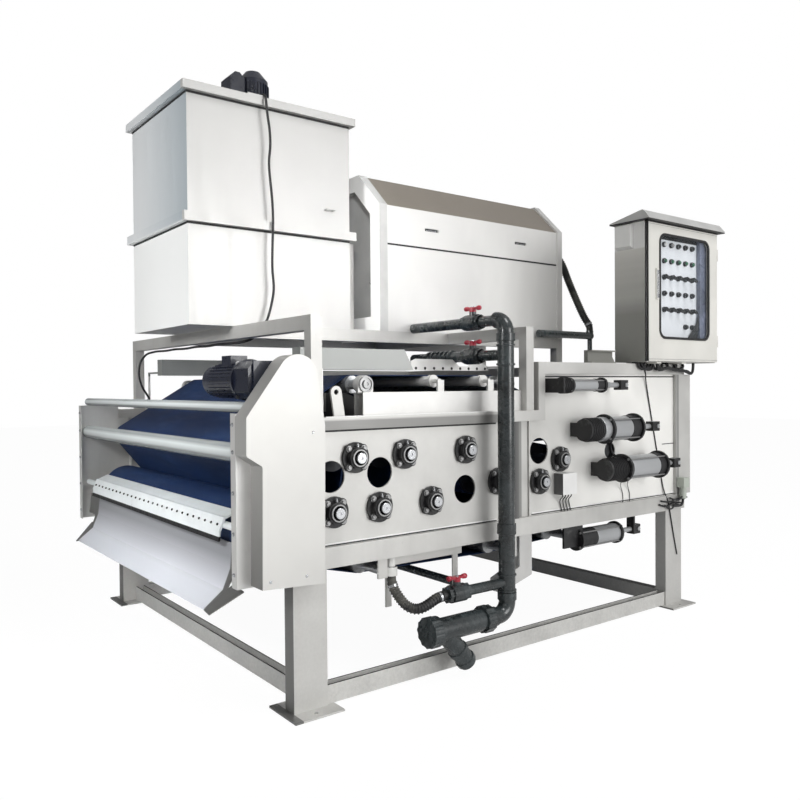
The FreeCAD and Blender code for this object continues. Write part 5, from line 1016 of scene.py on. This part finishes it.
WIRES = (  # radius, shifts along the machine, and route
    (3.2, (1795, 1821, 1847, 1873), ((0, -28, 859), (4, -27, 845), (14, 8, 822), (26, 14.5, 796), (34, 13.5, 770),
                                     (40, 12.5, 749.5))),
    (2.2, (2360, 2430), ((0, -30, 915), (10, 0, 870), (50, 16.5, 830), (65, 16.5, 790), (60, 16, 749.5))),
    (8.5, (0,), ((2260, -30, 1165), (2275, 8, 1130), (2300, 12, 1080), (2318, 0, 1050), (2330, -35, 1045))),
    (4.2, (0,), ((2612, -20, 1652), (2618, -7, 1630), (2640, -4, 1565), (2662, 16, 1535), (2800, 16.5, 1013),
                 (2862, 16, 775), (2878, -5, 732), (2900, -5, 655), (2945, -4, 480), (2986, -3.5, 340))),
    (5.8, (0,), ((2780, -6.2, 700), (2852, -12, 670), (2924, -16, 712), (3020, -10, 691))),
    (5.8, (0,), ((2800, -6.2, 722), (2878, -20, 704), (2956, -22, 729.2), (3060, -14, 716.6))),
    (5.8, (0,), ((2840, -6.2, 690), (2885, -28, 645), (2930, -28, 708), (2990, -18, 676.5))),
    (5.8, (0,), ((2900, -6.2, 735), (2952.5, -36, 705), (3005, -34, 747), (3075, -22, 726))),
    (8.5, (0,), ((3022, -28, 730), (3020, -30, 690), (2985, -26, 672), (2930, -12, 680))),
    (9.5, (0,), ((2720, -30, 1653), (2722, -34, 1632), (2760, -30, 1604), (2840, -36, 1612), (2920, -30, 1606),
                 (3000, -34, 1592), (3070, -30, 1596), (3120, -28, 1572), (3150, -26, 1600), (3155, -22, 1653))),
    (9.5, (0,), ((2720, -30, 1653), (2722, -34, 1610), (2760, -30, 1593), (2840, -36, 1623), (2920, -30, 1595),
                 (3000, -34, 1603), (3070, -30, 1585), (3120, -28, 1572), (3150, -26, 1600), (3155, -22, 1653))),
)


class PRESS_OT_wires(bpy.types.Operator):
    """Adds the clipped wires at the junction box, under the cabinet and at the air cylinders"""
    bl_idname = "press.wires"
    bl_label = "Wires"

    def execute(self, context):
        wires = [tube(radius, *((x + shift, y, z) for x, y, z in route)) for radius, shifts, route in WIRES for shift in shifts]
        for x, sink in ((2540, 2), (2575, 0), (2600, 6), (2860, 0), (2940, 0), (2700, 4)):
            wires.append(tube(8.5, (x, 30, 1652), (x + 4, -12, 1650), (x + 12, -11.5, 1622 - sink), (x + 50, -11.5, 1604 - sink),
                              (x + 100, -12, 1612 - sink), (x + 118, -11.5, 1640), (x + 122, 30, 1652)))
        show("clipped_wires", wires, "rubber", smooth=True)
        return {"FINISHED"}


LAMPS = (  # place, aim, side, power and spread in degrees
    ("key", (3.0, -10.5, 3.0), (0.3, 0, 1.2), 5.0, 430, 180), ("high", (1.0, -5.0, 8.5), (0.2, 0, 1.0), 3.0, 210, 180),
    ("left", (-9.5, -2.0, 3.6), (-1, 0, 1.3), 3.0, 26, 180), ("tank", (-8.0, -1.6, 3.1), (-1.6, 0.1, 2.55), 1.2, 14, 34),
    ("chute", (-5.5, -3.2, 3.2), (-1.8, 0, 0.45), 0.8, 14, 40), ("end", (-5.0, -7.0, 4.5), (-0.5, -0.3, 2.3), 0.8, 3, 14),
)


class PRESS_OT_stage(bpy.types.Operator):
    """Sets the pale floor, the soft lights and the camera at the photographed angle"""
    bl_idname = "press.stage"
    bl_label = "Stage"

    def execute(self, context):
        scene, stage = context.scene, context.scene.press_stage
        shape = bmesh.new()
        bmesh.ops.create_grid(shape, x_segments=1, y_segments=1, size=stage.floor_size / 2)
        floor = bpy.data.objects.new("floor", to_mesh(shape, "floor"))
        floor.data.materials.append(floor_finish())
        scene.collection.objects.link(floor)
        scene.world = studio(stage)
        for name, place, aim, side, power, spread in LAMPS:
            lamp = bpy.data.lights.new(name, "AREA")
            lamp.shape, lamp.size, lamp.energy, lamp.spread = "SQUARE", side, power, math.radians(spread)
            light = bpy.data.objects.new(name, lamp)
            light.matrix_world = Matrix.Translation(place) @ facing(Vector(place) - Vector(aim))
            scene.collection.objects.link(light)
        lens = bpy.data.cameras.new("camera")
        lens.lens, lens.sensor_width, lens.clip_end = stage.lens, 36.0, 200.0
        scene.camera = bpy.data.objects.new("camera", lens)
        forward = Vector((math.cos(stage.yaw) * math.cos(stage.pitch),
                          math.sin(stage.yaw) * math.cos(stage.pitch), math.sin(stage.pitch)))
        level_right = Vector((math.sin(stage.yaw), -math.cos(stage.yaw), 0))
        level_down = forward.cross(level_right)
        right = level_right * math.cos(stage.roll) + level_down * math.sin(stage.roll)
        down = level_down * math.cos(stage.roll) - level_right * math.sin(stage.roll)
        turn = Matrix((right, -down, -forward)).transposed().to_4x4()
        scene.camera.matrix_world = Matrix.Translation(stage.eye) @ turn
        scene.collection.objects.link(scene.camera)
        scene.view_settings.view_transform = "Standard"
        return {"FINISHED"}


def studio(stage):
    """A white surround for the camera that lights the machine more from the front and above."""
    world = bpy.data.worlds.new("studio")
    world.use_nodes = True
    add, link = world.node_tree.nodes.new, world.node_tree.links.new
    lit, level, pick = add("ShaderNodeVectorMath"), add("ShaderNodeMapRange"), add("ShaderNodeMix")
    lit.operation = "DOT_PRODUCT"
    lit.inputs[1].default_value = (0.42, -0.66, 0.62)
    link(add("ShaderNodeTexCoord").outputs["Generated"], lit.inputs[0])
    for socket, value in ((1, -0.9), (2, 0.9), (3, stage.dim_side), (4, stage.lit_side)):
        level.inputs[socket].default_value = value
    link(lit.outputs["Value"], level.inputs[0])
    link(add("ShaderNodeLightPath").outputs["Is Camera Ray"], pick.inputs[0])
    link(level.outputs[0], pick.inputs[2])
    pick.inputs[3].default_value = 1.0
    back = world.node_tree.nodes["Background"]
    back.inputs["Color"].default_value = (1, 1, 1, 1)
    link(pick.outputs[0], back.inputs["Strength"])
    return world


def floor_finish():
    """A pale floor that shows white and still takes the machine's shadow."""
    material = bpy.data.materials.new("floor")
    material.use_nodes = True
    tree = material.node_tree
    tree.nodes.clear()
    matt, glow, mixed, share, seen, out = (tree.nodes.new("ShaderNode" + kind) for kind in (
        "BsdfDiffuse", "Emission", "MixShader", "Math", "LightPath", "OutputMaterial"))
    matt.inputs["Color"].default_value = (0.86, 0.86, 0.86, 1)
    glow.inputs["Strength"].default_value = 1.03
    share.operation = "MULTIPLY"
    share.inputs[1].default_value = 0.93
    for source, target, socket in ((seen.outputs["Is Camera Ray"], share, 0), (share.outputs[0], mixed, 0),
                                   (matt.outputs[0], mixed, 1), (glow.outputs[0], mixed, 2), (mixed.outputs[0], out, 0)):
        tree.links.new(source, target.inputs[socket])
    return material


STEPS = (PRESS_OT_finishes, PRESS_OT_bearing_fittings, PRESS_OT_cylinder_fittings, PRESS_OT_scraper_bolts,
         PRESS_OT_cabinet_fittings, PRESS_OT_pipe_fittings, PRESS_OT_housing_fittings, PRESS_OT_seam_and_shadow_lines,
         PRESS_OT_motor_fittings, PRESS_OT_hoses, PRESS_OT_wires, PRESS_OT_stage)


class PRESS_PT_panel(bpy.types.Panel):
    """Lists the steps that dress the press"""
    bl_idname = "PRESS_PT_panel"
    bl_label = "Belt Filter Press"
    bl_space_type = "VIEW_3D"
    bl_region_type = "UI"
    bl_category = "Belt Press"

    def draw(self, context):
        for group in (context.scene.press_finishes, context.scene.press_sizes, context.scene.press_stage):
            for name in group.__annotations__:
                self.layout.prop(group, name)
        for step in STEPS:
            self.layout.operator(step.bl_idname)


GROUPS = {"press_finishes": PressFinishes, "press_sizes": PressSizes, "press_stage": PressStage}


def register():
    for name, group in GROUPS.items():
        bpy.utils.register_class(group)
        setattr(bpy.types.Scene, name, bpy.props.PointerProperty(type=group))
    for step in STEPS + (PRESS_PT_panel,):
        bpy.utils.register_class(step)


def unregister():
    for step in reversed(STEPS + (PRESS_PT_panel,)):
        bpy.utils.unregister_class(step)
    for name, group in GROUPS.items():
        delattr(bpy.types.Scene, name)
        bpy.utils.unregister_class(group)


def main():
    register()
    for step in STEPS:
        family, name = step.bl_idname.split(".")
        getattr(getattr(bpy.ops, family), name)()


if __name__ == "__main__":
    main()
